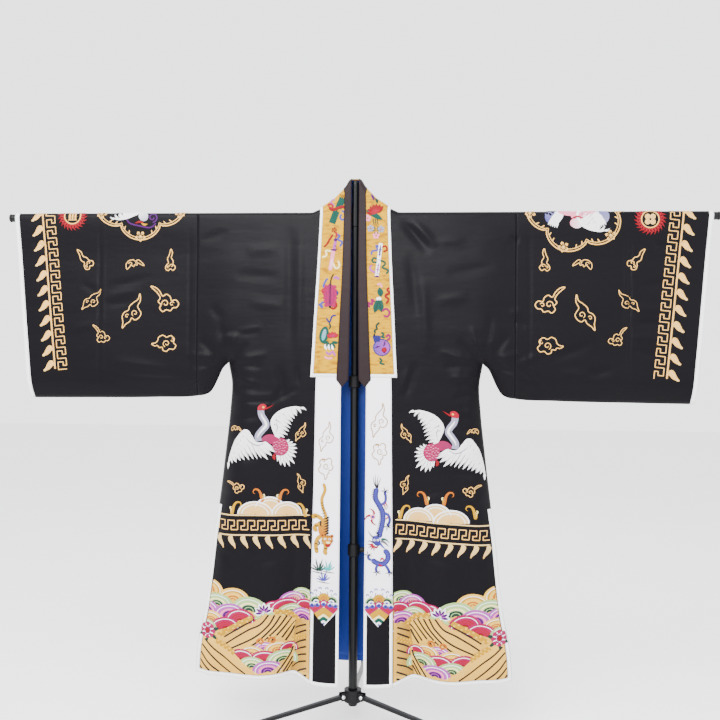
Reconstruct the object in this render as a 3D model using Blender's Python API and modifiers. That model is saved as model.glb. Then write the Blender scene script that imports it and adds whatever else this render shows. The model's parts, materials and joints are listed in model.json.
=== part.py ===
"""Taoist robe on a tee stand.

Metres, +Z up. The robe faces -Y and the floor is at z = 0. The origin is on the floor, under the middle of
the whole object's box, so the post stands a little in front of it, at POST_Y.

The cloth hangs over a crossbar. Each panel is a grid of points: columns run across it and rows run up it,
and the rows go on over the bar. What is sewn on a panel is read from the same grid and moved outwards.
Places on a panel are given by its column number, counted from the centre, and by a height.
"""

import math
from collections import namedtuple

import bmesh
import bpy
import numpy as np
from mathutils import Vector

# Cloth
CLOTH = 0.0015              # wall of the lined satin panels
TAPE = 0.0010               # wall of the bands, collar and bindings
SEAM = 0.0003               # gap between neighbouring pieces
LAYER = 0.0006              # gap under a piece that lies on another
LEVEL = TAPE + LAYER        # what one layer of bands adds in height

# Crossbar and post
BAR_Z = 1.396
BAR_RADIUS = 0.0108
BAR_END = 0.970
CAP_LENGTH = 0.006
UPPER_RADIUS = 0.0095
MIDDLE_RADIUS = 0.0110
LOWER_RADIUS = 0.0125
TEE_RADIUS = 0.0105
TEE_DROP = 0.026            # how far the tee reaches under and over the crossbar
HEAD_TOP = 1.4945
CLAMP_HEIGHTS = (0.479, 0.944)
CLAMP_RADIUS = 0.0165
CLAMP_LENGTH = 0.034
CLAMP_EDGE = 0.003
KNOB_RADIUS = 0.0075
KNOB_LENGTH = 0.0135
KNOB_EDGE = 0.002

# Hub, legs and feet
HUB_Z = 0.075
HUB_RADIUS = 0.024
HUB_LENGTH = 0.034
STUB_LENGTH = 0.012
LUG_REACH = 0.038
LUG_WALL = 0.003
LUG_HEIGHT = 0.020
LEG_REACH = 0.500
LEG_WIDTH = 0.012
LEG_THICK = 0.006
LEG_TIP = 0.034             # flat end of the leg over its foot
FOOT_RADIUS = 0.013
FOOT_HEIGHT = 0.014
PIN_RADIUS = 0.0035
PIN_HEAD = 0.0055
PIN_FIT = 0.0003
LEG_ANGLES = {"right": -30.0, "left": -150.0, "back": 90.0}
FRONT_REACH = LEG_REACH * math.sin(math.radians(30.0)) + LEG_WIDTH / 2 * math.cos(math.radians(30.0))
POST_Y = -(LEG_REACH - FRONT_REACH) / 2

# Where the cloth turns over the bar
BAR_EASE = 0.0005
FOLD_RADIUS = BAR_RADIUS + BAR_EASE + CLOTH
FOLD_STEPS = 4
FOLD_PARTING = 0.0005       # front and back stop this far from the middle of the fold

# Heights of the rows, from the hem up to the bar's middle
HEM_FRONT = 0.128
HEM_BACK = 0.145
UNDERARM = 0.995
SLIT_TOP = 0.600
COLLAR_FOOT = 0.957
LOW_ROWS = (
    0.160, 0.200, 0.250, 0.300, 0.350, 0.410, 0.470, 0.535, SLIT_TOP, 0.670, 0.740, 0.810, 0.880, 0.940,
)
HIGH_ROWS = (UNDERARM, 1.060, 1.130, 1.200, 1.270, 1.335, BAR_Z)
JOIN_X = 0.436              # seam between the body's sleeve root and the sleeve

# Body, a row for each height: the opening's edge, the side, how far the walls stand off the post's axis in
# the middle of the panel, and how far they do at the side
BodyRow = namedtuple("BodyRow", "height edge side front back front_side back_side")
SIDE_SEAM = CLOTH + SEAM / 2
BODY = (
    BodyRow(0.118, 0.0345, 0.4350, 0.0600, 0.0740, 0.0300, 0.0350),
    BodyRow(0.200, 0.0345, 0.4300, 0.0580, 0.0720, 0.0270, 0.0310),
    BodyRow(0.320, 0.0345, 0.4090, 0.0540, 0.0670, 0.0210, 0.0240),
    BodyRow(0.410, 0.0345, 0.3985, 0.0510, 0.0620, 0.0150, 0.0170),
    BodyRow(0.510, 0.0345, 0.3885, 0.0465, 0.0560, 0.0070, 0.0080),
    BodyRow(0.600, 0.0345, 0.3765, 0.0430, 0.0510, SIDE_SEAM, SIDE_SEAM),
    BodyRow(0.750, 0.0345, 0.3580, 0.0390, 0.0450, SIDE_SEAM, SIDE_SEAM),
    BodyRow(0.860, 0.0345, 0.3460, 0.0365, 0.0410, SIDE_SEAM, SIDE_SEAM),
    BodyRow(0.940, 0.0340, 0.3415, 0.0345, 0.0370, SIDE_SEAM, SIDE_SEAM),
    BodyRow(0.995, 0.0310, 0.3505, 0.0330, 0.0350, SIDE_SEAM, SIDE_SEAM),
    BodyRow(1.130, 0.0245, 0.3505, 0.0280, 0.0300, SIDE_SEAM, SIDE_SEAM),
    BodyRow(1.270, 0.0170, 0.3505, 0.0205, 0.0220, SIDE_SEAM, SIDE_SEAM),
    BodyRow(1.335, 0.0140, 0.3505, 0.0165, 0.0175, SIDE_SEAM, SIDE_SEAM),
    BodyRow(1.396, 0.0115, 0.3505, FOLD_RADIUS, FOLD_RADIUS, SIDE_SEAM, SIDE_SEAM),
)

# Lower edge of the sleeve, from the underarm to the cuff
SleeveEdge = namedtuple("SleeveEdge", "x height")
SLEEVE_EDGE = (
    SleeveEdge(0.3505, 0.995), SleeveEdge(0.3690, 0.976), SleeveEdge(0.3830, 0.945),
    SleeveEdge(0.3990, 0.916), SleeveEdge(0.4180, 0.904), SleeveEdge(0.4360, 0.901),
    SleeveEdge(0.5500, 0.896), SleeveEdge(0.7500, 0.893), SleeveEdge(0.9600, 0.891),
)
CUFF_TOP_X = 0.957
CUFF_FOOT_X = 0.915
SLEEVE_FLATNESS = 0.30      # share of the depth that the sleeve loses against the body
SEAM_ROUNDING = 0.065       # width of the stretch that rounds in to a seam
SLEEVE_COLUMNS = 8

# How far the cloth rises over the post's head, by the distance from the post
RISE_X = (0.000, 0.012, 0.024, 0.055, 0.093, 0.118)
RISE_Z = (0.0880, 0.0880, 0.0680, 0.0370, 0.0115, 0.000)
RISE_FROM = 1.200

# How far the hem lies above or below its row
HEM_X = (0.034, 0.110, 0.165, 0.250, 0.350, 0.430)
HEM_DIP = {
    "front": (-0.010, -0.006, 0.010, 0.006, 0.004, 0.010),
    "back": (0.002, 0.001, -0.002, 0.003, 0.001, -0.004),
}
HEM_DIP_REACH = 0.600

# Folds that fall to the hem: positive depth stands out, negative depth goes in
Fold = namedtuple("Fold", "layer side hem_x top_x top_height width depth")
BOTH, RIGHT, LEFT = 0, 1, -1
FOLDS = (
    Fold("front", BOTH, 0.070, 0.060, 0.85, 0.060, 0.014),
    Fold("front", RIGHT, 0.170, 0.150, 0.78, 0.036, -0.030),
    Fold("front", LEFT, 0.158, 0.145, 0.74, 0.034, -0.034),
    Fold("front", RIGHT, 0.262, 0.225, 0.86, 0.046, 0.013),
    Fold("front", LEFT, 0.248, 0.215, 0.82, 0.044, 0.012),
    Fold("front", BOTH, 0.352, 0.315, 0.55, 0.034, -0.012),
    Fold("back", BOTH, 0.105, 0.085, 0.92, 0.045, 0.014),
    Fold("back", RIGHT, 0.190, 0.165, 0.80, 0.038, -0.022),
    Fold("back", LEFT, 0.202, 0.170, 0.84, 0.038, -0.020),
    Fold("back", BOTH, 0.290, 0.250, 0.90, 0.044, 0.014),
    Fold("back", BOTH, 0.365, 0.325, 0.55, 0.030, -0.010),
)

# Widths of the bands down the opening, by height
BAND_HEIGHTS = (0.118, 0.320, 0.955, 1.396)
BAND_WIDTHS = (0.0770, 0.0760, 0.0690, 0.0680)
BEYOND_BAND = 0.020
PANEL_SHARES = (0.075, 0.150, 0.225, 0.305, 0.385, 0.475, 0.570, 0.675, 0.785, 0.895, 1.000)
BACK_SHARES = (0.130, 0.250, 0.370, 0.490, 0.610, 0.740, 0.870, 1.000)
ROOT_X = (0.3690, 0.3830, 0.3990, 0.4180, JOIN_X - SEAM / 2)

# Column numbers on the front panel, where 0 to 2 is the band's width
BAND_COLUMNS = (0.0, 1.0, 2.0)
EDGED_COLUMNS = (0.0, 0.2, 1.0, 1.8, 2.0)
LAPEL_COLUMNS = (0.0, 0.5, 1.0, 1.5, 2.0)
CUFF_SHARE = 0.19           # width of the cuff's tape, in columns of the sleeve
COLLAR_EDGE = 2.80
COLLAR_PIPING = 0.36
PIPING_GAP = 0.015
PIPING_WIDTH = 0.009
COLLAR_BACK_FOOT = 1.350
GUARD_BACK_FOOT = 1.380
LAPEL_POINT = 0.290
LAPEL_SHOULDER = 0.333
GUARD_TIP = 0.930
GUARD_SHOULDER = 0.950
GUARD_INNER = ((GUARD_TIP, -0.58), (COLLAR_FOOT, -0.56), (1.200, -0.30), (1.396, -0.03))
GUARD_OUTER = ((GUARD_TIP, 0.40), (COLLAR_FOOT, 0.40), (1.200, 0.44), (1.396, 0.52))
BINDING = 0.011
ROW_CLEARANCE = 0.010       # least height between a piece's end and the row next to it
LINING_ROWS = (0.250, 0.350, 0.470, 0.600, 0.740, 0.880, 0.940, 0.995, 1.060, 1.130, 1.200, 1.270)
LINING_HEM = 0.018
LINING_EASE = 0.0016

# Finishes: colour, roughness, metallic
FINISHES = {
    "black_satin": ((0.022, 0.019, 0.024, 1.0), 0.42, 0.0),
    "blue_lining": ((0.016, 0.050, 0.260, 1.0), 0.55, 0.0),
    "yellow_collar": ((0.840, 0.520, 0.030, 1.0), 0.50, 0.0),
    "white_satin": ((0.820, 0.820, 0.850, 1.0), 0.48, 0.0),
    "white_tape": ((0.840, 0.850, 0.840, 1.0), 0.60, 0.0),
    "brown_satin": ((0.055, 0.040, 0.044, 1.0), 0.50, 0.0),
    "stand_black": ((0.012, 0.012, 0.013, 1.0), 0.35, 0.0),
    "rivet_steel": ((0.620, 0.620, 0.630, 1.0), 0.30, 1.0),
    "foot_rubber": ((0.018, 0.018, 0.018, 1.0), 0.80, 0.0),
}


def table(at, xs, ys):
    """Smooth curve through a short table, level beyond its ends."""
    xs = np.asarray(xs, float)
    ys = np.asarray(ys, float)
    slopes = np.gradient(ys, xs)
    at = np.clip(at, xs[0], xs[-1])
    i = np.clip(np.searchsorted(xs, at, side="right") - 1, 0, len(xs) - 2)
    span = xs[i + 1] - xs[i]
    t = (at - xs[i]) / span
    return (
        ys[i] * (2 * t**3 - 3 * t**2 + 1)
        + ys[i + 1] * (3 * t**2 - 2 * t**3)
        + span * slopes[i] * (t**3 - 2 * t**2 + t)
        + span * slopes[i + 1] * (t**3 - t**2)
    )


def body(name, height):
    """One column of the body table, read at a height."""
    return table(height, [row.height for row in BODY], [getattr(row, name) for row in BODY])


def ease(t):
    """Soft step from 0 to 1."""
    t = np.clip(t, 0.0, 1.0)
    return t * t * (3 - 2 * t)


def sleeve_foot(x):
    """Height of the sleeve's lower edge."""
    return np.interp(x, [point.x for point in SLEEVE_EDGE], [point.height for point in SLEEVE_EDGE])


def seam_line():
    """The side seam from the hem to the underarm, then the sleeve's lower edge to the cuff."""
    heights = [row.height for row in BODY if row.height < UNDERARM]
    side = [(float(body("side", height)), height) for height in heights]
    return np.array(side + [(point.x, point.height) for point in SLEEVE_EDGE])


SEAM_LINE = seam_line()


def distance_to_seam(x, z):
    """Shortest way from each point to the side and sleeve seams, seen from the front."""
    best = np.full(np.shape(x), 9.0)
    for (ax, az), (bx, bz) in zip(SEAM_LINE[:-1], SEAM_LINE[1:]):
        along = ((x - ax) * (bx - ax) + (z - az) * (bz - az)) / ((bx - ax) ** 2 + (bz - az) ** 2)
        along = np.clip(along, 0.0, 1.0)
        best = np.minimum(best, np.hypot(x - ax - along * (bx - ax), z - az - along * (bz - az)))
    return best


def wall_depth(layer, side, x, z):
    """How far the outer face of a wall stands off the post's axis, below the bar."""
    fullness = 1 - (1 - np.clip(distance_to_seam(x, z) / SEAM_ROUNDING, 0, 1)) ** 2
    full = body(layer, z) * (1 - SLEEVE_FLATNESS * ease((x - 0.33) / 0.15) * ease((BAR_Z - z) / 0.12))
    at_side = body(layer + "_side", z)
    depth = at_side + (full - at_side) * fullness
    for fold in FOLDS:
        if fold.layer == layer and fold.side in (BOTH, side):
            fall = ease((fold.top_height - z) / (fold.top_height - HEM_FRONT))
            middle = fold.hem_x + (fold.top_x - fold.hem_x) * (z - HEM_FRONT) / (fold.top_height - HEM_FRONT)
            depth = depth + fold.depth * fall * fullness * np.exp(-(((x - middle) / fold.width) ** 2))
    return depth


class Panel:
    """A grid of points on the outer face of a panel, rows from the hem up and over the bar."""

    def __init__(self, layer, side, x, z, heights, side_column=None, underarm_row=0):
        self.layer = layer
        self.side = side
        self.side_column = side_column
        self.underarm_row = underarm_row
        facing = -1.0 if layer == "front" else 1.0
        walls = np.stack([x, facing * wall_depth(layer, side, x, z), z], axis=-1)
        turn_end = math.acos(FOLD_PARTING / FOLD_RADIUS)
        turns = [walls]
        for step in range(1, FOLD_STEPS + 1):
            turn = turn_end * step / FOLD_STEPS
            row = walls[-1].copy()
            row[:, 1] = facing * FOLD_RADIUS * math.cos(turn)
            row[:, 2] += FOLD_RADIUS * math.sin(turn)
            turns.append(row[None])
        points = np.concatenate(turns)
        points[..., 0] *= side
        over = [heights[-1] + FOLD_RADIUS * turn_end * step / FOLD_STEPS for step in range(1, FOLD_STEPS + 1)]
        self.heights = np.array(list(heights) + over)
        self.points = points
        if side_column:
            edge = points[:underarm_row, side_column]
            points[:underarm_row, side_column + 1] = 2 * edge - points[:underarm_row, side_column - 1]
        across = np.gradient(points, axis=1)
        upward = np.gradient(points, axis=0)
        normals = np.cross(across, upward) * side * -facing
        self.normals = normals / np.linalg.norm(normals, axis=-1, keepdims=True)

    def keep(self, row, column):
        """Whether a cell is cloth: the sleeve's root has none below the underarm."""
        return not self.side_column or row >= self.underarm_row or column < self.side_column

    def read(self, grid, column, height):
        """A value of the grid between its rows and columns."""
        row = np.interp(height, self.heights, np.arange(len(self.heights)))
        j = int(min(row, len(self.heights) - 2))
        i = int(min(max(column, 0), grid.shape[1] - 2))
        up = row - j
        along = column - i
        low = grid[j, i] * (1 - along) + grid[j, i + 1] * along
        high = grid[j + 1, i] * (1 - along) + grid[j + 1, i + 1] * along
        return low * (1 - up) + high * up

    def out(self, column, height, lift):
        """A point of the panel moved out from its face, and the way out there."""
        normal = self.read(self.normals, column, height)
        return self.read(self.points, column, height) + normal / np.linalg.norm(normal) * lift, normal


def finish(name):
    """The material of a finish, made once."""
    material = bpy.data.materials.get(name)
    if material is None:
        material = bpy.data.materials.new(name)
        material.use_nodes = True
        shader = material.node_tree.nodes["Principled BSDF"]
        colour, roughness, metallic = FINISHES[name]
        shader.inputs["Base Color"].default_value = colour
        shader.inputs["Roughness"].default_value = roughness
        shader.inputs["Metallic"].default_value = metallic
        material.diffuse_color = colour
    return material


def place(name, data, finish_name, collection=None):
    """A new object of the robe or its stand, carried by the stand's empty."""
    item = bpy.data.objects.new(name, data)
    data.materials.append(finish(finish_name))
    (collection or PARTS).objects.link(item)
    item.parent = ROOT
    return item


def cloth(name, points, normals, thickness, finish_name, keep=None):
    """A wall of cloth whose outer face goes through the points, as an open surface with Solidify."""
    rows, columns = points.shape[:2]
    bm = bmesh.new()
    bmesh.ops.create_grid(bm, x_segments=columns - 1, y_segments=rows - 1, size=1.0)
    where = {}
    for vert in bm.verts:
        i = round((vert.co.x + 1) / 2 * (columns - 1))
        j = round((vert.co.y + 1) / 2 * (rows - 1))
        where[vert] = (j, i)
    if keep is not None:
        gone = []
        for face in bm.faces:
            j = min(where[vert][0] for vert in face.verts)
            i = min(where[vert][1] for vert in face.verts)
            if not keep(j, i):
                gone.append(face)
        bmesh.ops.delete(bm, geom=gone, context="FACES")
    for vert in bm.verts:
        vert.co = Vector(points[where[vert]])
    bm.normal_update()
    face = bm.faces[:][0]
    if face.normal.dot(Vector(normals[where[face.verts[0]]])) < 0:
        bmesh.ops.reverse_faces(bm, faces=bm.faces[:])
    mesh = bpy.data.meshes.new(name)
    bm.to_mesh(mesh)
    bm.free()
    mesh.shade_smooth()
    item = place(name, mesh, finish_name)
    wall = item.modifiers.new("Wall", "SOLIDIFY")
    wall.thickness = thickness
    wall.offset = -1.0
    wall.use_even_offset = True
    return item


def body_panel(layer, side):
    """Front or back body panel with the root of its sleeve, cut to the join seam."""
    hem = HEM_FRONT if layer == "front" else HEM_BACK
    heights = np.array((hem,) + LOW_ROWS + HIGH_ROWS)
    band = table(heights, BAND_HEIGHTS, BAND_WIDTHS)
    edge = body("edge", heights)
    outer = edge + band + BEYOND_BAND
    to_side = body("side", heights)
    middle = [edge, edge + band / 2, edge + band, outer]
    shares = PANEL_SHARES
    if layer == "back":
        middle = [np.full(len(heights), SEAM / 2)] + middle
        shares = BACK_SHARES
    columns = middle + [outer + (to_side - outer) * share for share in shares]
    columns += [np.full(len(heights), x) for x in ROOT_X]
    x = np.stack(columns, axis=1)
    z = np.repeat(heights[:, None], x.shape[1], axis=1)
    dip = np.interp(x, HEM_X, HEM_DIP[layer])
    z = z + dip * (1 - np.clip((z - hem) / HEM_DIP_REACH, 0, 1)) ** 2
    z = z + np.interp(x, RISE_X, RISE_Z) * ease((z - RISE_FROM) / (BAR_Z - RISE_FROM))
    first_root = x.shape[1] - len(ROOT_X)
    underarm_row = list(heights).index(UNDERARM)
    stretch = (BAR_Z - sleeve_foot(x)) / (BAR_Z - UNDERARM)
    z[:, first_root:] = (BAR_Z - (BAR_Z - heights[:, None]) * stretch)[:, first_root:]
    return Panel(layer, side, x, z, heights, first_root - 1, underarm_row)


def sleeve_panel(layer, side):
    """Front or back half of a sleeve, from the join seam to the cuff."""
    heights = np.array(HIGH_ROWS)
    share = np.linspace(0, 1, SLEEVE_COLUMNS + 1)[None, :]
    down = ((BAR_Z - heights) / (BAR_Z - UNDERARM))[:, None]
    start = JOIN_X + SEAM / 2
    end = CUFF_TOP_X + (CUFF_FOOT_X - CUFF_TOP_X) * down
    x = start + (end - start) * share
    z = BAR_Z - down * (BAR_Z - sleeve_foot(x))
    return Panel(layer, side, x, z, heights)


def lay(name, out, columns, rows, lift, finish_name, keep=None):
    """A piece that lies on a panel, with its outer face moved out by lift.

    out reads the panel. columns holds column numbers, or functions of the height that give them. rows holds
    the heights of the rows, or is a function of the place in columns that gives them.
    """
    rows_at = rows if callable(rows) else lambda i: rows
    points = np.zeros((len(rows_at(0)), len(columns), 3))
    normals = np.zeros_like(points)
    for i, column in enumerate(columns):
        for j, height in enumerate(rows_at(i)):
            number = column(height) if callable(column) else column
            points[j, i], normals[j, i] = out(number, height, lift)
    return cloth(name, points, normals, TAPE, finish_name, keep)


def pointed(shoulder, tip, count, higher):
    """Rows of a piece whose lower end is lowest in its middle column."""
    return lambda i: [shoulder + (tip - shoulder) * (1 - abs(2 * i / (count - 1) - 1))] + higher


def edge_binding(name, panel):
    """White tape along the hem and up the side slit of one panel."""
    side = panel.side_column
    start = 2.02 if panel.layer == "front" else 0.0
    inner = side - BINDING / np.linalg.norm(panel.points[0, side] - panel.points[0, side - 1])
    columns = [start] + [float(c) for c in range(math.floor(start) + 1, side)] + [inner, float(side)]
    hem = panel.heights[0]
    rows = [hem, hem + BINDING] + [h for h in panel.heights if hem + 2 * BINDING < h < SLIT_TOP] + [SLIT_TOP]
    last = len(columns) - 2
    lay(name, panel.out, columns, rows, LAYER + TAPE, "white_tape", lambda j, i: j == 0 or i == last)


def opening_bands(panel, word):
    """Black band, its white edging, white lapel, yellow collar and dark guard of one front."""
    out = panel.out
    heights = list(panel.heights)
    lay("front_band_" + word, out, BAND_COLUMNS, heights, LAYER + TAPE, "black_satin")

    on_band = LAYER + LEVEL + TAPE
    slope = LAPEL_SHOULDER - LAPEL_POINT
    ends = [LAPEL_SHOULDER - slope * (1 - abs(column - 1)) - 2 * SEAM for column in EDGED_COLUMNS]
    hem = heights[0]
    low = [hem, hem + BINDING]
    low += [h for h in heights if hem + 2 * BINDING < h < LAPEL_POINT - ROW_CLEARANCE]
    lay(
        "band_piping_" + word, out, EDGED_COLUMNS, lambda i: low + [ends[i]], on_band, "white_tape",
        lambda j, i: j == 0 or i in (0, 3),
    )
    between = [h for h in heights if LAPEL_SHOULDER < h < COLLAR_FOOT - ROW_CLEARANCE] + [COLLAR_FOOT - SEAM]
    lapel_rows = pointed(LAPEL_SHOULDER, LAPEL_POINT, len(LAPEL_COLUMNS), between)
    lay("lapel_" + word, out, LAPEL_COLUMNS, lapel_rows, on_band, "white_satin")

    inner = COLLAR_EDGE - COLLAR_PIPING
    foot = COLLAR_FOOT + PIPING_WIDTH
    higher = [h for h in heights if h > foot + ROW_CLEARANCE]
    lay(
        "collar_" + word, out, BAND_COLUMNS + (inner - PIPING_GAP,), [foot + SEAM] + higher, on_band,
        "yellow_collar",
    )
    lay(
        "collar_piping_" + word, out, BAND_COLUMNS + (inner, COLLAR_EDGE), [COLLAR_FOOT, foot] + higher,
        on_band, "white_tape", lambda j, i: j == 0 or i == 3,
    )

    def guard_column(share):
        def column(height):
            start = np.interp(height, *zip(*GUARD_INNER))
            end = np.interp(height, *zip(*GUARD_OUTER))
            return float(start + (end - start) * share)
        return column

    guard_columns = [guard_column(share) for share in (0.0, 0.5, 1.0)]
    guard_rows = pointed(GUARD_SHOULDER, GUARD_TIP, 3, [COLLAR_FOOT + ROW_CLEARANCE] + higher)
    lay("guard_" + word, out, guard_columns, guard_rows, on_band + LEVEL, "brown_satin")


def build_cloth():
    """Every piece of the robe."""
    panels = {}
    for word, side in (("left", LEFT), ("right", RIGHT)):
        for layer in ("front", "back"):
            panel = body_panel(layer, side)
            panels[layer, word] = panel
            cloth(f"{layer}_{word}", panel.points, panel.normals, CLOTH, "black_satin", panel.keep)
            edge_binding(f"binding_{layer}_{word}", panel)
            sleeve = sleeve_panel(layer, side)
            cloth(f"sleeve_{word}_{layer}", sleeve.points, sleeve.normals, CLOTH, "black_satin")
            cuff = (SLEEVE_COLUMNS - CUFF_SHARE, float(SLEEVE_COLUMNS))
            lay(f"cuff_{word}_{layer}", sleeve.out, cuff, sleeve.heights, LAYER + TAPE, "white_tape")
        opening_bands(panels["front", word], word)
    back_neck(panels)
    lining(panels)


def across_back(panels):
    """Both back panels read as one: column numbers below zero are on the left."""
    return lambda column, height, lift: panels["back", "left" if column < 0 else "right"].out(
        abs(column), height, lift
    )


def mirrored(columns):
    """Column numbers on both sides of the centre back."""
    return [-c for c in reversed(columns)] + [0.0] + list(columns)


def back_neck(panels):
    """The collar, its white edging and the guard behind the post's head."""
    out = across_back(panels)
    heights = panels["back", "right"].heights
    inner = 1 + COLLAR_EDGE - COLLAR_PIPING
    lift = LAYER + TAPE
    higher = [h for h in heights if h > COLLAR_BACK_FOOT + PIPING_WIDTH + ROW_CLEARANCE]
    columns = mirrored((1.0, 2.0, 3.0, inner - PIPING_GAP))
    rows = [COLLAR_BACK_FOOT + PIPING_WIDTH + SEAM] + higher
    lay("collar_back", out, columns, rows, lift, "yellow_collar")
    columns = mirrored((1.0, 2.0, 3.0, inner, 1 + COLLAR_EDGE))
    rows = [COLLAR_BACK_FOOT, COLLAR_BACK_FOOT + PIPING_WIDTH] + higher
    last = len(columns) - 2
    lay("collar_piping_back", out, columns, rows, lift, "white_tape", lambda j, i: j == 0 or i in (0, last))
    columns = mirrored((1.0, 1.0 + GUARD_OUTER[-1][1]))
    rows = [GUARD_BACK_FOOT] + [h for h in heights if h > GUARD_BACK_FOOT + ROW_CLEARANCE]
    lay("guard_back", out, columns, rows, lift + LEVEL, "brown_satin")


def lining(panels):
    """The blue lining just inside the back, from the hem to below the crossbar."""
    panel = panels["back", "right"]
    columns = mirrored([float(c) for c in range(1, panel.side_column)])
    rows = [panel.heights[0] + LINING_HEM] + list(LINING_ROWS)
    lay("back_lining", across_back(panels), columns, rows, -(CLOTH + LINING_EASE), "blue_lining")


def turned(name, profile, finish_name, steps=16):
    """A turned piece: its profile runs from the top of the axis down its outer side to the bottom."""
    mesh = bpy.data.meshes.new(name)
    edges = [(i, i + 1) for i in range(len(profile) - 1)]
    mesh.from_pydata([(radius, 0.0, z) for radius, z in profile], edges, [])
    item = place(name, mesh, finish_name)
    screw = item.modifiers.new("Turn", "SCREW")
    screw.steps = steps
    screw.render_steps = steps
    screw.use_merge_vertices = True
    screw.merge_threshold = 0.00002
    screw.use_smooth_shade = True
    return item


def tube(name, radius, low, high, finish_name, ease_edge=0.001):
    """A round bar along Z with eased ends."""
    profile = [(0.0, high), (radius - ease_edge, high), (radius, high - ease_edge)]
    profile += [(radius, low + ease_edge), (radius - ease_edge, low), (0.0, low)]
    return turned(name, profile, finish_name)


def build_post():
    """Three tubes, two clamps with their knobs, the tee and the head over it."""
    low_clamp, high_clamp = CLAMP_HEIGHTS
    hub_top = HUB_Z + HUB_LENGTH / 2
    hub_low = HUB_Z - HUB_LENGTH / 2
    half = CLAMP_LENGTH / 2
    tube("post_lower", LOWER_RADIUS, hub_top + SEAM, low_clamp - half - SEAM, "stand_black")
    tube("post_middle", MIDDLE_RADIUS, low_clamp + half + SEAM, high_clamp - half - SEAM, "stand_black")
    tube("post_upper", UPPER_RADIUS, high_clamp + half + SEAM, BAR_Z - TEE_DROP - SEAM, "stand_black")
    tube("post_stub", LOWER_RADIUS, hub_low - STUB_LENGTH, hub_low - SEAM, "stand_black")
    for word, height in (("lower", low_clamp), ("upper", high_clamp)):
        tube("clamp_" + word, CLAMP_RADIUS, height - half, height + half, "stand_black", CLAMP_EDGE)
        knob = tube("knob_" + word, KNOB_RADIUS, 0.0, KNOB_LENGTH, "stand_black", KNOB_EDGE)
        knob.location = (CLAMP_RADIUS + SEAM, 0.0, height)
        knob.rotation_euler = (0.0, math.radians(90.0), 0.0)
    tee_low = BAR_Z - TEE_DROP
    dome = HEAD_TOP - UPPER_RADIUS
    profile = [(0.0, HEAD_TOP)]
    for step in range(1, 5):
        turn = math.radians(90.0 * step / 5)
        profile.append((UPPER_RADIUS * math.sin(turn), dome + UPPER_RADIUS * math.cos(turn)))
    profile += [(UPPER_RADIUS, dome), (UPPER_RADIUS, BAR_Z + TEE_DROP), (TEE_RADIUS, BAR_Z + TEE_DROP)]
    profile += [(TEE_RADIUS, tee_low), (0.0, tee_low)]
    turned("post_head", profile, "stand_black")


def build_crossbar():
    """Two halves of the bar, each out of the tee, and their end caps."""
    for word, side in (("left", -1), ("right", 1)):
        start = TEE_RADIUS + SEAM
        bar = tube("crossbar_" + word, BAR_RADIUS, 0.0, BAR_END - start, "stand_black", 0.0005)
        bar.location = (side * start, 0.0, BAR_Z)
        bar.rotation_euler = (0.0, side * math.radians(90.0), 0.0)
        cap = tube("bar_cap_" + word, BAR_RADIUS + 0.0007, 0.0, CAP_LENGTH, "foot_rubber", 0.0015)
        cap.location = (side * (BAR_END + SEAM), 0.0, BAR_Z)
        cap.rotation_euler = (0.0, side * math.radians(90.0), 0.0)


def box(name, size, location, turn, finish_name, collection=None):
    """A block from a primitive cube, turned about Z round the post."""
    bm = bmesh.new()
    bmesh.ops.create_cube(bm, size=1.0)
    bmesh.ops.scale(bm, vec=size, verts=bm.verts)
    mesh = bpy.data.meshes.new(name)
    bm.to_mesh(mesh)
    bm.free()
    item = place(name, mesh, finish_name, collection)
    item.location = location
    item.rotation_euler = (0.0, 0.0, turn)
    return item


def pin_cutter(name, centre, turn, length):
    """A guide that cuts the hole of a leg's pin."""
    bm = bmesh.new()
    bmesh.ops.create_cone(
        bm, cap_ends=True, segments=16, depth=length,
        radius1=PIN_RADIUS + PIN_FIT, radius2=PIN_RADIUS + PIN_FIT,
    )
    mesh = bpy.data.meshes.new(name)
    bm.to_mesh(mesh)
    bm.free()
    item = place(name, mesh, "stand_black", CUTTERS)
    item.location = centre
    item.rotation_euler = (math.radians(90.0), 0.0, turn)
    return as_guide(item)


def as_guide(item):
    """Hides a cutter from the finished object."""
    item.hide_render = True
    item.display_type = "WIRE"
    return item


def boolean(item, other, operation):
    """Cuts or joins with the exact solver."""
    step = item.modifiers.new(operation.title(), "BOOLEAN")
    step.object = other
    step.operation = operation
    step.solver = "EXACT"


def leg_outline():
    """Side view of a leg: radius from the post and height."""
    root = HUB_RADIUS + 0.0015
    tip = LEG_REACH
    bend = LEG_REACH - LEG_TIP
    low = FOOT_HEIGHT + SEAM
    half = LEG_THICK / 2
    return [
        (root, HUB_Z - 2 * half), (bend, low), (tip, low), (tip, low + LEG_THICK),
        (bend - 0.001, low + LEG_THICK), (root, HUB_Z + 2 * half),
    ]


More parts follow.
